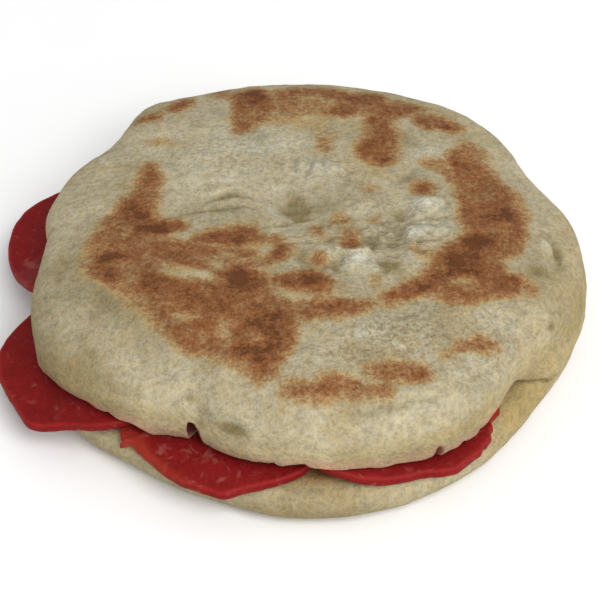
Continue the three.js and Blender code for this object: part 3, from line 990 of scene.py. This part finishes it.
    def calm(self, skin: Skin) -> Array:
        """Share of the relief that is left: less towards the cut's lips, and little on the underside."""
        upper = 1.0 - self.upper_lip_calm * skin.share * self.cut(skin)
        lower = 1.0 - self.lower_lip_calm * (1.0 - skin.share) * self.cut(skin)
        where = [skin.on(part) for part in (Part.UPPER_LIP, Part.LOWER_LIP, Part.LOWER_EDGE, Part.BASE)]
        return np.select(where, [upper, lower, 1.0 - self.edge_calm * skin.share, self.base_relief], 1.0)

    def relief(self, skin: Skin) -> Array:
        """Height of the relief along the normals: lumps, pebbles and folds, with none on the cut faces."""
        wavy = self.lumps.at(skin.grid, *self.broad_lumps)
        wavy = wavy + self.crumple_height * self.crumple(skin) + skin.on_top(DOMES)
        for _, depth, swell in self.creased(skin):
            wavy = wavy + self.crease_swell * swell - depth
        pebbled = self.grain.at(skin.grid, *self.pebbles)
        return (wavy + pebbled) * self.calm(skin) * (1.0 - self.inside(skin))

    def creased(self, skin: Skin) -> Iterator[tuple[Crease, Array, Array]]:
        """Gives each crease with its depth and swell on the top.

        Noise moves the places that it is measured from, so that it wanders, and makes it shallow in parts.
        """
        x = skin.grid[..., 0] + self.grain.at(skin.grid, *self.crease_sideways)
        y = skin.grid[..., 1] + self.grain.at(skin.grid, *self.crease_lengthways)
        whole = self.crease_share + self.lumps.at(skin.grid, self.crease_gaps)
        whole = np.clip(whole, *self.crease_range) * skin.on(Part.TOP)
        for crease in CREASES:
            depth, swell = scored(x, y, crease.path, crease.half_width)
            yield crease, depth * whole, swell * whole

    def crumple(self, skin: Skin) -> Array:
        """Crumpled crust of the blistered areas: two sizes of noise, from -1 in hollows to 1 on lumps."""
        noise = self.lumps.at(skin.grid, self.crumple_lumps) + self.grain.at(skin.grid, self.crumple_grain)
        return skin.on_top(BLISTERED, 1.0) * noise

    def marked(self, skin: Skin, low: float, high: float) -> Array:
        """Strongest mark at each place, eased between two distances inside its edge, which noise roughens."""
        x, y, _ = np.moveaxis(skin.grid, -1, 0)
        wobble = self.grain.at(skin.grid, *self.mark_edge)
        strongest = np.zeros_like(x)
        for mark in SCORCHES:
            edge = brushed(x, y, mark.path) + wobble * mark.looseness()
            strongest = np.maximum(strongest, mark.strength * ease(edge, low, high))
        return strongest * skin.top_share()

    def scorch(self, skin: Skin) -> Array:
        """Browning of the marks, paler in their gaps and uneven inside.

        The underside gets broad noisy patches like those of the top.
        """
        uneven = self.mark_share + self.lumps.at(skin.grid, self.mark_lumps)
        uneven = uneven + self.grain.at(skin.grid, self.mark_grain)
        browned = self.marked(skin, *self.mark_fade) * (1.0 - skin.on_top(PALE_GAPS, 1.0)) * uneven
        edge = ease(skin.share, *self.base_start)
        under = np.where(skin.on(Part.LOWER_EDGE), edge, 1.0 * skin.on(Part.BASE))
        return browned + under * ease(self.lumps.at(skin.grid, *self.base_marks), *self.base_fade)

    def fold_shade(self, skin: Skin) -> Array:
        """Painted shade of the creases, hollows, dimple and seam at the cut's ends, plus olive places and
        wall smudges.
        """
        open_dough = 1.0 - self.gap_clearing * skin.on_top(PALE_GAPS, 1.0)
        # Olive places of the top, partly painted shade, and the darker dough round the marks
        shade = skin.on_top(SHADED, 1.0) + self.halo_shade * self.marked(skin, *self.halo) * open_dough
        # Painted shade in the hollows of the crumpled crust
        shade = shade + self.hollow_shade * ease(-self.crumple(skin), *self.hollow_depth)
        # Painted shade along the creases
        for crease, depth, _ in self.creased(skin):
            shade = np.maximum(shade, crease.shade * depth)
        # Painted shade in the seam's groove
        level = lerp(self.upper_level, self.lower_level, self.seam.at(skin.angle))
        groove = self.seam_shade.height * self.seam_strength(skin.angle)
        groove = groove * hill(skin.grid[..., 2] - level, self.seam_shade.half_width)
        joined = ~skin.on(Part.TOP, Part.LOWER_EDGE, Part.BASE) * (1.0 - self.cut(skin))
        clean = 1.0 - ease(self.flour_and_crest_light(skin), *self.flour_clearing)
        # Smudges on the wall, partly painted shade, cleared where floury
        shade = (shade + skin.on_wall(SMUDGES_AND_SHADE)) * clean + groove * joined
        return np.clip(shade, 0.0, self.most_shade)

    def flour_and_crest_light(self, skin: Skin) -> Array:
        """Flour on the top: its patches, and the crests of the crumpled crust, whose whiteness is also a
        painted highlight.
        """
        return skin.on_top(FLOURED) + self.crest_flour_and_highlight * ease(self.crumple(skin), *self.crest_height)

    def buttery(self, skin: Skin) -> Array:
        """How buttery the wall is: less towards its foot, and not at all on the top."""
        z = skin.grid[..., 2]
        return (1.0 - ease(z, *self.wall_top)) * lerp(self.foot_share, 1.0, ease(z, *self.wall_foot))

    def lip_stain_and_shade(self, skin: Skin) -> Array:
        """Pink of the sausage on the upper lip, strongest at its edge, and widest towards the right as
        painted shade where the lip rolls under.
        """
        away = turn_away(skin.angle, self.stain_middle)
        at_lip = ease(skin.share + 0.3 * ease(away, *self.stain_widens), 0.0, 0.75) * skin.on(Part.UPPER_LIP)
        return at_lip * ease(away, *self.stain_start) * (1.0 - ease(away, *self.stain_end))

    def oil(self, skin: Skin) -> Array:
        """Oil of the sausage on the lower cut face, away from its edge."""
        x, y, _ = np.moveaxis(skin.grid, -1, 0)
        inward = self.lower.at(skin.angle) - self.lower_lip_setback - np.hypot(x, y)
        return skin.on_wall(OILED, 1.0) * ease(inward, *self.oil_start) * skin.on(Part.FLOOR)

    def torn(self, skin: Skin) -> Array:
        """How far each place lies in a deep tear, on the roof behind it and on the lip beside it."""
        # Inside the deep tears dark red is painted as shade and as the sausage's reflection
        beside = ease(skin.share, *self.torn_start) * skin.on(Part.UPPER_LIP)
        deep = np.max([tear.at(skin.angle) for tear in TEARS if tear.height > self.deep_tear], axis=0)
        return ease(deep, *self.torn_edge) * np.where(skin.on(Part.ROOF), 1.0, beside)

    def build(self) -> bpy.types.Object:
        """Makes the bread's mesh with its relief, pressed flat below, and the fields its finish reads."""
        skin = self.skin()
        fields = {
            "scorch": self.scorch(skin),
            "char": skin.on_top(CHARS, 2.0),
            # Flour, and painted highlight on the crests and raised blisters
            "flour_and_highlight": np.clip(self.flour_and_crest_light(skin) + skin.on_wall(PALE_WALL), 0.0, 2.0),
            "grainy": skin.on_top(GRAINY, 1.0),
            "blister": skin.on_top(BLISTERED, 1.0),
            # Olive places and painted shade
            "olive_and_shade": self.fold_shade(skin),
            "wall": self.buttery(skin),
            "golden": skin.on_wall(GOLDEN, 1.0),
            "crumb": self.inside(skin),
            # Pink of the sausage, and painted shade under the lip towards the right
            "lip_stain_and_shade": self.lip_stain_and_shade(skin),
            "oil": self.oil(skin),
            # Painted shade and red reflection inside the deep tears
            "torn": self.torn(skin),
        }
        surface = skin.grid + grid_normals(skin.grid) * self.relief(skin)[..., None]
        surface[..., 2] = np.maximum(surface[..., 2], 0.0)
        return grid_mesh("split_bread", surface, fields)


# The sausage

@dataclass
class SausageSlice:
    """One slice: two flat faces and a rounded edge, bent over what it lies on."""

    form: SliceForm
    seed: int
    pocket: Pocket = Pocket()
    columns: int = 300
    crowding: float = 3.0
    face_rows: int = 26
    face_crowding: float = 0.8
    edge_rows: int = 12
    edge_power: float = 0.6
    rim_shift: float = 31.0
    rim_waves: Ripples = (Ripple(0.25, 7.0), Ripple(0.12, 2.4))
    torn_waves: Ripples = (Ripple(1.0, 3.0), Ripple(0.7, 1.5))
    face_waves: Ripples = (Ripple(0.14, 6.0), Ripple(0.07, 2.2))
    fat_waves: Ripple = Ripple(0.6, 9.0, 70.0)
    pole_calm: float = 0.08
    rim_out: Span = (0.3, 0.9)
    rim_height: Span = (1.9, 2.5)
    bright_from: Span = (0.96, 0.8)
    bright_width: float = 9.0

    def sections(self) -> tuple[Array, Array, Array]:
        """Rows of the skin, from the upper face round the edge to the underside.

        The edge is a squared half circle: sine and cosine each raised to a power below 1.

        Returns:
            The share of the face reached, the way out past the face and the height of each row.
        """
        half = self.pocket.slice_thickness / 2.0
        face = np.linspace(0.0, 1.0, self.face_rows + 1) ** self.face_crowding
        turn = np.linspace(0.0, math.pi, self.edge_rows + 2)[1:-1]
        up = np.sign(np.cos(turn)) * np.abs(np.cos(turn)) ** self.edge_power
        level = np.zeros_like(face)
        reach = np.concatenate([face, np.ones(self.edge_rows), face[::-1]])
        out = np.concatenate([level, half * np.sin(turn) ** self.edge_power, level])
        height = np.concatenate([level + 2.0 * half, half * (1.0 + up), level])
        return reach[:, None], out[:, None], height[:, None]

    def build(self) -> bpy.types.Object:
        """Makes the slice's mesh and the fields that its finish reads."""
        form, noise = self.form, Lattice(self.seed)
        crowds = (form.torn._replace(height=self.crowding),) if form.torn.height else ()
        angle = spaced_directions(self.columns, crowds)
        reach, out, height = self.sections()
        rim = polar(angle, form.outline.radius, 0.0) + self.rim_shift
        ragged = noise.at(rim, *self.rim_waves) + form.torn.at(angle) * noise.at(rim, *self.torn_waves)
        radius = form.outline.at(angle) + ragged - self.pocket.slice_thickness / 2.0
        flat = polar(angle, reach * radius + out, 0.0)
        x, y = flat[..., 0] + form.x, flat[..., 1] + form.y
        grid = np.stack([x, y, form.underside(x, y, self.pocket) + height], axis=-1)
        relief = noise.at(grid, *self.face_waves) * ease(reach, 0.0, self.pole_calm)
        grid = grid + grid_normals(grid) * relief[..., None]
        inner = lerp(*self.bright_from, hill(turn_away(angle, form.torn.direction), self.bright_width))
        level = np.zeros_like(x)
        fields = {
            # Upper corner of the edge, for the casing red and its painted highlight
            "rim": ease(out, *self.rim_out) * ease(height, *self.rim_height) + level,
            "fat": form.fat * (1.0 + noise.at(grid, self.fat_waves)) + patched(x, y, form.marbling),
            "bright": form.bright.at(angle) * ease(reach, inner, 1.0) + level,
        }
        return grid_mesh(form.node.replace("sausage_slice", "sausage"), grid, fields)


# Finishes

Socket = bpy.types.NodeSocket
Value = Union[float, tuple, Socket]


class Wiring:
    """Short calls that add and join nodes in a tree."""

    def __init__(self, tree: bpy.types.NodeTree) -> None:
        """Keeps the tree that the nodes go into."""
        self.tree = tree

    def add(self, kind: str, inputs: dict[Union[str, int], Value], **settings: str) -> bpy.types.Node:
        """Adds a node.

        Args:
            kind: the node's type without its leading words, such as TexNoise.
            inputs: values or sockets for its inputs, by name or number.
            settings: the node's own properties.

        Returns:
            The node.
        """
        node = self.tree.nodes.new("ShaderNode" + kind)
        for key, value in settings.items():
            setattr(node, key, value)
        for key, value in inputs.items():
            self.join(value, node.inputs[key])
        return node

    def join(self, value: Value, socket: Socket) -> None:
        """Links a socket to an input, or sets the input to a value."""
        if isinstance(value, Socket):
            self.tree.links.new(value, socket)
        else:
            socket.default_value = value

    def math(self, operation: str, a: Value, b: Value, c: Value = 0.0) -> Socket:
        """Result of a Math node."""
        return self.add("Math", {0: a, 1: b, 2: c}, operation=operation).outputs[0]

    def times(self, a: Value, b: Value) -> Socket:
        """Product of two values."""
        return self.math("MULTIPLY", a, b)

    def scaled(self, value: Value, gain: Value, start: Value) -> Socket:
        """A value times a gain, plus a start."""
        return self.math("MULTIPLY_ADD", value, gain, start)

    def spread(self, value: Value, gain: Value, start: Value) -> Socket:
        """A value's distance from one half times a gain, plus a start."""
        return self.scaled(self.math("SUBTRACT", value, 0.5), gain, start)

    def moved(self, value: Value, gain: Value, start: Value) -> Socket:
        """A vector times a gain, plus a start."""
        return self.add("VectorMath", {0: value, 1: gain, 2: start}, operation="MULTIPLY_ADD").outputs[0]

    def ramp(self, value: Value, low: float, high: float) -> Socket:
        """Smooth step of a value between two limits."""
        inputs = {"Value": value, "From Min": low, "From Max": high}
        return self.add("MapRange", inputs, interpolation_type="SMOOTHSTEP").outputs[0]

    def mix(self, share: Value, a: Value, b: Value, blend: str = "MIX") -> Socket:
        """Colour mixed from a to b."""
        a = (*a, 1.0) if isinstance(a, tuple) else a
        b = (*b, 1.0) if isinstance(b, tuple) else b
        return self.add("Mix", {0: share, 6: a, 7: b}, data_type="RGBA", blend_type=blend).outputs[2]

    def washed(self, colour: Value, field: str, share: float, wash: Value) -> Socket:
        """Colour mixed towards a wash by a share of one of the mesh's own attributes."""
        return self.mix(self.times(self.field(field), share), colour, wash)

    def field(self, name: str) -> Socket:
        """Value of one of the mesh's own attributes."""
        return self.add("Attribute", {}, attribute_name=name).outputs["Fac"]

    def place(self) -> Socket:
        """Place on the piece, in metres."""
        return self.add("TexCoord", {}).outputs["Object"]

    def noise(self, place: Value, scale: Value, detail: float = 2.0, output: Union[int, str] = 0) -> Socket:
        """Noise with so many cells for each metre, as a value or by the output's name."""
        inputs = {"Vector": place, "Scale": scale, "Detail": detail}
        return self.add("TexNoise", inputs).outputs[output]

    def warped(self, scale: float, reach: Colour) -> Socket:
        """Place on the piece moved by coloured noise, by up to a reach in metres each way."""
        place = self.place()
        return self.moved(self.noise(place, scale, output="Color"), reach, place)

    def mottled(
        self, tree: bpy.types.NodeTree, coarse: float, fine: float, share: float, contrast: float = 2.4
    ) -> bpy.types.NodeOutputs:
        """Places the mottle group with its sizes, in cells for each metre, and its contrast."""
        sizes = {"Coarse": coarse, "Fine": fine, "Fine Share": share, "Contrast": contrast}
        return self.add("Group", {"Vector": self.place(), **sizes}, node_tree=tree).outputs


def mottle_group() -> bpy.types.NodeTree:
    """Node group for uneven tone: coarse and fine noise, blended and spread about one half.

    Returns:
        The group, with inputs Vector, Coarse, Fine, Fine Share and Contrast, and outputs Value and Height.
    """
    tree = bpy.data.node_groups.new("Mottle", "ShaderNodeTree")
    face = tree.interface
    face.new_socket("Vector", in_out="INPUT", socket_type="NodeSocketVector")
    for name in ("Coarse", "Fine", "Fine Share", "Contrast"):
        face.new_socket(name, in_out="INPUT", socket_type="NodeSocketFloat")
    for name in ("Value", "Height"):
        face.new_socket(name, in_out="OUTPUT", socket_type="NodeSocketFloat")
    wiring = Wiring(tree)
    source = tree.nodes.new("NodeGroupInput").outputs
    coarse = wiring.noise(source["Vector"], source["Coarse"], 3.0)
    fine = wiring.noise(source["Vector"], source["Fine"])
    blend = wiring.add("Mix", {0: source["Fine Share"], 2: coarse, 3: fine}, data_type="FLOAT").outputs[0]
    sink = tree.nodes.new("NodeGroupOutput").inputs
    spread = wiring.spread(blend, source["Contrast"], 0.5)
    wiring.join(wiring.add("Clamp", {"Value": spread}).outputs[0], sink["Value"])
    wiring.join(blend, sink["Height"])
    return tree


def new_finish(name: str, specular: float) -> tuple[bpy.types.Material, Wiring, bpy.types.NodeInputs]:
    """Starts a material.

    Args:
        name: of the material.
        specular: how strongly it shines.

    Returns:
        The material, the wiring of its tree and the inputs of its Principled shader.
    """
    material = bpy.data.materials.new(name)
    material.use_nodes = True
    shader = material.node_tree.nodes["Principled BSDF"].inputs
    shader["Specular IOR Level"].default_value = specular
    return material, Wiring(material.node_tree), shader


@dataclass(frozen=True)
class CrustFinish:
    """Floury griddle crust: cream and grey-white dough, browned marks, creases with painted shade, crumb,
    sausage pink and painted highlights.
    """

    mottle: bpy.types.NodeTree
    cream: Colour = (0.405, 0.352, 0.228)
    floury: Colour = (0.435, 0.402, 0.298)
    # Chalk white of the crests and blisters, partly painted highlight
    chalky: Colour = (0.58, 0.55, 0.43)
    straw: Colour = (0.345, 0.262, 0.128)
    butter: Colour = (0.395, 0.32, 0.168)
    golden: Colour = (0.36, 0.265, 0.105)
    # Dull olive places, and painted shade in creases, hollows, cracks and the seam
    olive: Colour = (0.172, 0.128, 0.05)
    fringe: Colour = (0.335, 0.232, 0.105)
    tan: Colour = (0.285, 0.155, 0.066)
    brown: Colour = (0.207, 0.081, 0.027)
    dark: Colour = (0.11, 0.038, 0.012)
    crumb: Colour = (0.36, 0.27, 0.13)
    # Pink of the sausage, also used as painted shade under the lip
    pink: Colour = (0.36, 0.175, 0.125)
    oil: Colour = (0.22, 0.075, 0.02)
    # Dark red painted inside the deep tears as shade and the sausage's reflection
    tear_shade: Colour = (0.15, 0.032, 0.022)
    fringe_levels: Span = (0.04, 0.42)
    tan_levels: Span = (0.3, 0.62)
    brown_levels: Span = (0.55, 0.95)
    dark_levels: Span = (0.92, 1.3)

    def build(self) -> bpy.types.Material:
        """Makes the material."""
        material, wiring, shader = new_finish("griddle_crust", specular=0.15)
        mottle = wiring.mottled(self.mottle, 85.0, 270.0, 0.45)
        speckle = wiring.mottled(self.mottle, 700.0, 1500.0, 0.45, 4.0)
        tone, grain = mottle["Value"], speckle["Value"]
        gap = self.blister_gap(wiring)
        lines = self.wrinkles(wiring)
        colour, browned = self.browned(wiring, self.dough(wiring, tone, grain, gap, lines), tone, grain)
        colour = wiring.washed(colour, "crumb", 0.85, self.crumb)
        # Pink of the sausage, with painted shade under the lip towards the right
        lip_stain_and_shade = wiring.times(wiring.field("lip_stain_and_shade"), wiring.scaled(tone, 0.5, 0.3))
        colour = wiring.mix(lip_stain_and_shade, colour, self.pink)
        colour = wiring.washed(colour, "oil", 0.8, self.oil)
        # Painted shade and red reflection inside the deep tears
        colour = wiring.mix(wiring.field("torn"), colour, self.tear_shade)
        wiring.join(self.grained(wiring, colour, tone, grain), shader["Base Color"])
        wiring.join(wiring.scaled(browned, -0.14, 0.86), shader["Roughness"])
        domed = wiring.times(wiring.ramp(gap, 0.0, 0.4), wiring.field("blister"))
        height = wiring.scaled(mottle["Height"], 1.3, wiring.scaled(domed, 0.5, speckle["Height"]))
        height = wiring.scaled(lines, -0.5, height)
        bump = wiring.add("Bump", {"Strength": 0.7, "Distance": 0.0007, "Height": height})
        wiring.join(bump.outputs[0], shader["Normal"])
        return material

    def grained(self, wiring: Wiring, colour: Value, tone: Value, grain: Value) -> Socket:
        """Uneven light and dark over a colour, weaker where browned, with a little coloured noise."""
        depth = wiring.scaled(wiring.field("grainy"), 0.3, 0.33)
        depth = wiring.times(depth, wiring.scaled(wiring.field("scorch"), -0.35, 1.0))
        light = wiring.spread(grain, depth, wiring.scaled(tone, 0.36, 0.82))
        colour = wiring.mix(1.0, colour, light, "MULTIPLY")
        tint = wiring.moved(wiring.noise(wiring.place(), 420.0, 3.0), (0.2, 0.0, -0.4), (0.9, 1.0, 1.2))
        return wiring.mix(1.0, colour, tint, "MULTIPLY")

    def wrinkles(self, wiring: Wiring) -> Socket:
        """Thin wandering lines, painted as shade, where a noise drawn out sideways crosses its middle value.
        """
        drawn = wiring.add("Mapping", {"Vector": wiring.place(), "Scale": (0.6, 1.3, 1.0)}).outputs[0]
        away = wiring.math("ABSOLUTE", wiring.math("SUBTRACT", wiring.noise(drawn, 190.0, 4.0), 0.5), 0.0)
        return wiring.times(wiring.ramp(away, 0.05, 0.0), wiring.field("blister"))

    def blister_gap(self, wiring: Wiring) -> Socket:
        """Distance to the edges of small cells on a place warped by noise, in cells."""
        cells = {"Vector": wiring.warped(150.0, (0.007, 0.007, 0.007)), "Scale": 190.0}
        return wiring.add("TexVoronoi", cells, feature="DISTANCE_TO_EDGE").outputs["Distance"]

    def dough(self, wiring: Wiring, tone: Value, grain: Value, gap: Value, lines: Value) -> Socket:
        """Pale dough: cream, floury where dusted, straw blotches, buttery walls, and olive with painted shade
        in creases and cracks.
        """
        dusted = wiring.scaled(wiring.field("flour_and_highlight"), 0.55, wiring.times(tone, 0.45))
        pale = wiring.mix(wiring.ramp(dusted, 0.1, 0.9), self.cream, self.floury)
        # Chalk white on the crests and blisters: floury, partly painted highlight
        pale = wiring.mix(wiring.ramp(wiring.field("flour_and_highlight"), 0.8, 2.0), pale, self.chalky)
        pale = wiring.washed(pale, "wall", 0.75, self.butter)
        blotch = wiring.noise(wiring.place(), 48.0, 4.0)
        pale = wiring.mix(wiring.times(wiring.ramp(blotch, 0.46, 0.72), 0.7), pale, self.straw)
        pale = wiring.mix(wiring.times(wiring.ramp(grain, 0.5, 0.1), 0.2), pale, self.straw)
        pale = wiring.washed(pale, "golden", 0.8, self.golden)
        # Painted shade in the cracks between the blister cells and along the wrinkle lines
        crack_shade = wiring.times(wiring.ramp(gap, 0.11, 0.0), wiring.field("blister"))
        crack_shade = wiring.math("MAXIMUM", wiring.times(crack_shade, 0.5), wiring.times(lines, 0.55))
        # Olive places and painted shade of the mesh, the cracks and the wrinkles
        olive_and_shade_share = wiring.math("MAXIMUM", wiring.field("olive_and_shade"), crack_shade)
        return wiring.mix(wiring.times(wiring.ramp(olive_and_shade_share, 0.0, 1.2), 0.85), pale, self.olive)

    def browned(self, wiring: Wiring, dough: Value, tone: Value, grain: Value) -> tuple[Socket, Socket]:
        """Browned marks over the dough: a yellow fringe, tan and brown inside it, and dark where charred.

        Returns:
            The colour, and how brown each place is.
        """
        scorch = wiring.field("scorch")
        patchy = wiring.times(scorch, wiring.scaled(tone, 0.56, 0.6))
        loose = wiring.times(wiring.scaled(grain, -0.36, 0.18), wiring.ramp(scorch, 0.1, 0.6))
        charred = wiring.times(wiring.field("char"), scorch)
        level = wiring.scaled(charred, 0.25, wiring.math("ADD", patchy, loose))
        level = wiring.math("MAXIMUM", level, wiring.times(scorch, 0.4))
        colour = wiring.mix(wiring.ramp(level, *self.fringe_levels), dough, self.fringe)
        colour = wiring.mix(wiring.ramp(level, *self.tan_levels), colour, self.tan)
        share = wiring.ramp(level, *self.brown_levels)
        colour = wiring.mix(share, colour, self.brown)
        return wiring.mix(wiring.ramp(level, *self.dark_levels), colour, self.dark), share


@dataclass(frozen=True)
class SausageFinish:
    """Moist cut sausage: dark red meat, paler grains, streaks of fat, and a casing-red edge with a painted
    highlight.
    """

    mottle: bpy.types.NodeTree
    deep: Colour = (0.135, 0.006, 0.0065)
    meat: Colour = (0.24, 0.0125, 0.0115)
    fat: Colour = (0.36, 0.11, 0.085)
    # Casing red of the edge's upper corner, partly painted highlight
    edge: Colour = (0.36, 0.026, 0.023)
    orange: Colour = (0.32, 0.036, 0.016)

    def build(self) -> bpy.types.Material:
        """Makes the material."""
        material, wiring, shader = new_finish("cut_sausage", specular=0.06)
        mottle = wiring.mottled(self.mottle, 170.0, 900.0, 0.5)
        colour = wiring.mix(mottle["Value"], self.deep, self.meat)
        blotch = wiring.noise(wiring.warped(90.0, (0.012, 0.012, 0.0)), 420.0)
        fleck = wiring.ramp(wiring.scaled(wiring.field("fat"), 0.16, blotch), 0.62, 0.84)
        colour = wiring.mix(wiring.times(fleck, 0.42), colour, self.fat)
        # Casing red and painted highlight along the upper corner of the edge
        colour = wiring.washed(colour, "rim", 0.35, self.edge)
        colour = wiring.washed(colour, "bright", 0.6, self.orange)
        wiring.join(colour, shader["Base Color"])
        wiring.join(wiring.scaled(mottle["Value"], 0.16, 0.42), shader["Roughness"])
        bump = wiring.add("Bump", {"Strength": 0.5, "Distance": 0.0004, "Height": mottle["Height"]})
        wiring.join(bump.outputs[0], shader["Normal"])
        return material


@dataclass(frozen=True)
class FloorFinish:
    """Matt off-white paper for the floor."""

    mottle: bpy.types.NodeTree
    paper: Colour = (0.97, 0.97, 0.97)
    shade: Colour = (0.95, 0.95, 0.95)
    roughness: float = 0.9

    def build(self) -> bpy.types.Material:
        """Makes the material."""
        material, wiring, shader = new_finish("floor_paper", specular=0.1)
        tone = wiring.mottled(self.mottle, 12.0, 60.0, 0.4)["Value"]
        wiring.join(wiring.mix(tone, self.paper, self.shade), shader["Base Color"])
        shader["Roughness"].default_value = self.roughness
        return material


# The studio

def view_direction(azimuth: float, elevation: float) -> Vector:
    """Unit vector from the bread towards a viewer; azimuth 0 is in front and 90 is at the right."""
    a, e = math.radians(azimuth), math.radians(elevation)
    return Vector((math.sin(a) * math.cos(e), -math.cos(a) * math.cos(e), math.sin(e)))


def stand(name: str, data: bpy.types.ID, place: Vector, turn: Quaternion) -> bpy.types.Object:
    """Puts a camera or a light into the scene, at a place and turned."""
    thing = bpy.data.objects.new(name, data)
    thing.location = place
    thing.rotation_mode = "QUATERNION"
    thing.rotation_quaternion = turn
    bpy.context.scene.collection.objects.link(thing)
    return thing


@dataclass(frozen=True)
class SoftBox:
    """A square area light aimed at the bread, placed by direction, height angle and distance in metres."""

    name: str
    azimuth: float
    elevation: float
    distance: float
    size: float
    watts: float

    def build(self, target: Vector) -> None:
        """Adds the light."""
        data = bpy.data.lights.new(self.name, "AREA")
        data.shape = "SQUARE"
        data.size = self.size
        data.energy = self.watts
        away = view_direction(self.azimuth, self.elevation)
        stand(self.name, data, target + away * self.distance, away.to_track_quat("Z", "Y"))


@dataclass(frozen=True)
class Studio:
    """Camera at the photo's viewing angle, pale floor and soft light."""

    elevation: float = 43.0
    distance: float = 620.0
    target_height: float = 16.0
    lens: float = 136.1
    sensor: float = 36.0
    right_of_centre: float = 2.7
    above_centre: float = 4.4
    floor_half: float = 1.6
    sky: float = 0.62
    boxes: tuple[SoftBox, ...] = (
        SoftBox("key", 26.0, 50.0, 1.6, 0.85, 16.5),
        SoftBox("fill", 45.0, 25.0, 1.8, 1.0, 5.0),
    )

    def build(self, mottle: bpy.types.NodeTree) -> None:
        """Adds the camera, the lights, the floor and the sky."""
        target = Vector((0.0, 0.0, self.target_height * MM))
        self.add_camera(target)
        for box in self.boxes:
            box.build(target)
        self.add_floor(mottle)
        self.add_sky()

    def add_camera(self, target: Vector) -> None:
        """Adds the camera, aimed a little off the target so that the bread sits as in the photo."""
        away = view_direction(0.0, self.elevation)
        turn = away.to_track_quat("Z", "Y")
        aim = target - turn @ Vector((self.right_of_centre, self.above_centre, 0.0)) * MM
        data = bpy.data.cameras.new("photo_view")
        data.sensor_width = self.sensor
        data.lens = self.lens
        bpy.context.scene.camera = stand("photo_view", data, aim + away * self.distance * MM, turn)

    def add_floor(self, mottle: bpy.types.NodeTree) -> None:
        """Adds the floor, a wide square under the bread."""
        half = self.floor_half
        corners = [(-half, -half, 0.0), (half, -half, 0.0), (half, half, 0.0), (-half, half, 0.0)]
        mesh = bpy.data.meshes.new("floor")
        mesh.from_pydata(corners, [], [(0, 1, 2, 3)])
        floor = bpy.data.objects.new("floor", mesh)
        floor.data.materials.append(FloorFinish(mottle).build())
        bpy.context.scene.collection.objects.link(floor)

    def add_sky(self) -> None:
        """Sets an even white sky and plain view colours."""
        scene = bpy.context.scene
        world = bpy.data.worlds.new("soft_sky")
        world.use_nodes = True
        background = world.node_tree.nodes["Background"].inputs
        background["Color"].default_value = (1.0, 1.0, 1.0, 1.0)
        background["Strength"].default_value = self.sky
        scene.world = world
        scene.view_settings.view_transform = "Standard"
        scene.view_settings.look = "None"


def dress(piece: bpy.types.Object, material: bpy.types.Material, node: str) -> None:
    """Gives a piece its finish, lets it ride on the body and stand for its node."""
    piece.data.materials.append(material)
    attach(piece, BODY)
    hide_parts(node)
    LOG.info("%s stands for %s with %d faces", piece.name, node, len(piece.data.polygons))


def main() -> None:
    """Builds the bread, its slices and the studio."""
    logging.basicConfig(level=logging.INFO, format="%(name)s: %(message)s")
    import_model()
    mottle = mottle_group()
    Studio().build(mottle)
    dress(Flatbread().build(), CrustFinish(mottle).build(), "split_flatbread")
    sausage = SausageFinish(mottle).build()
    for seed, form in enumerate(SLICES, start=41):
        dress(SausageSlice(form, seed).build(), sausage, form.node)
    bpy.context.view_layer.update()


if __name__ == "__main__":
    main()
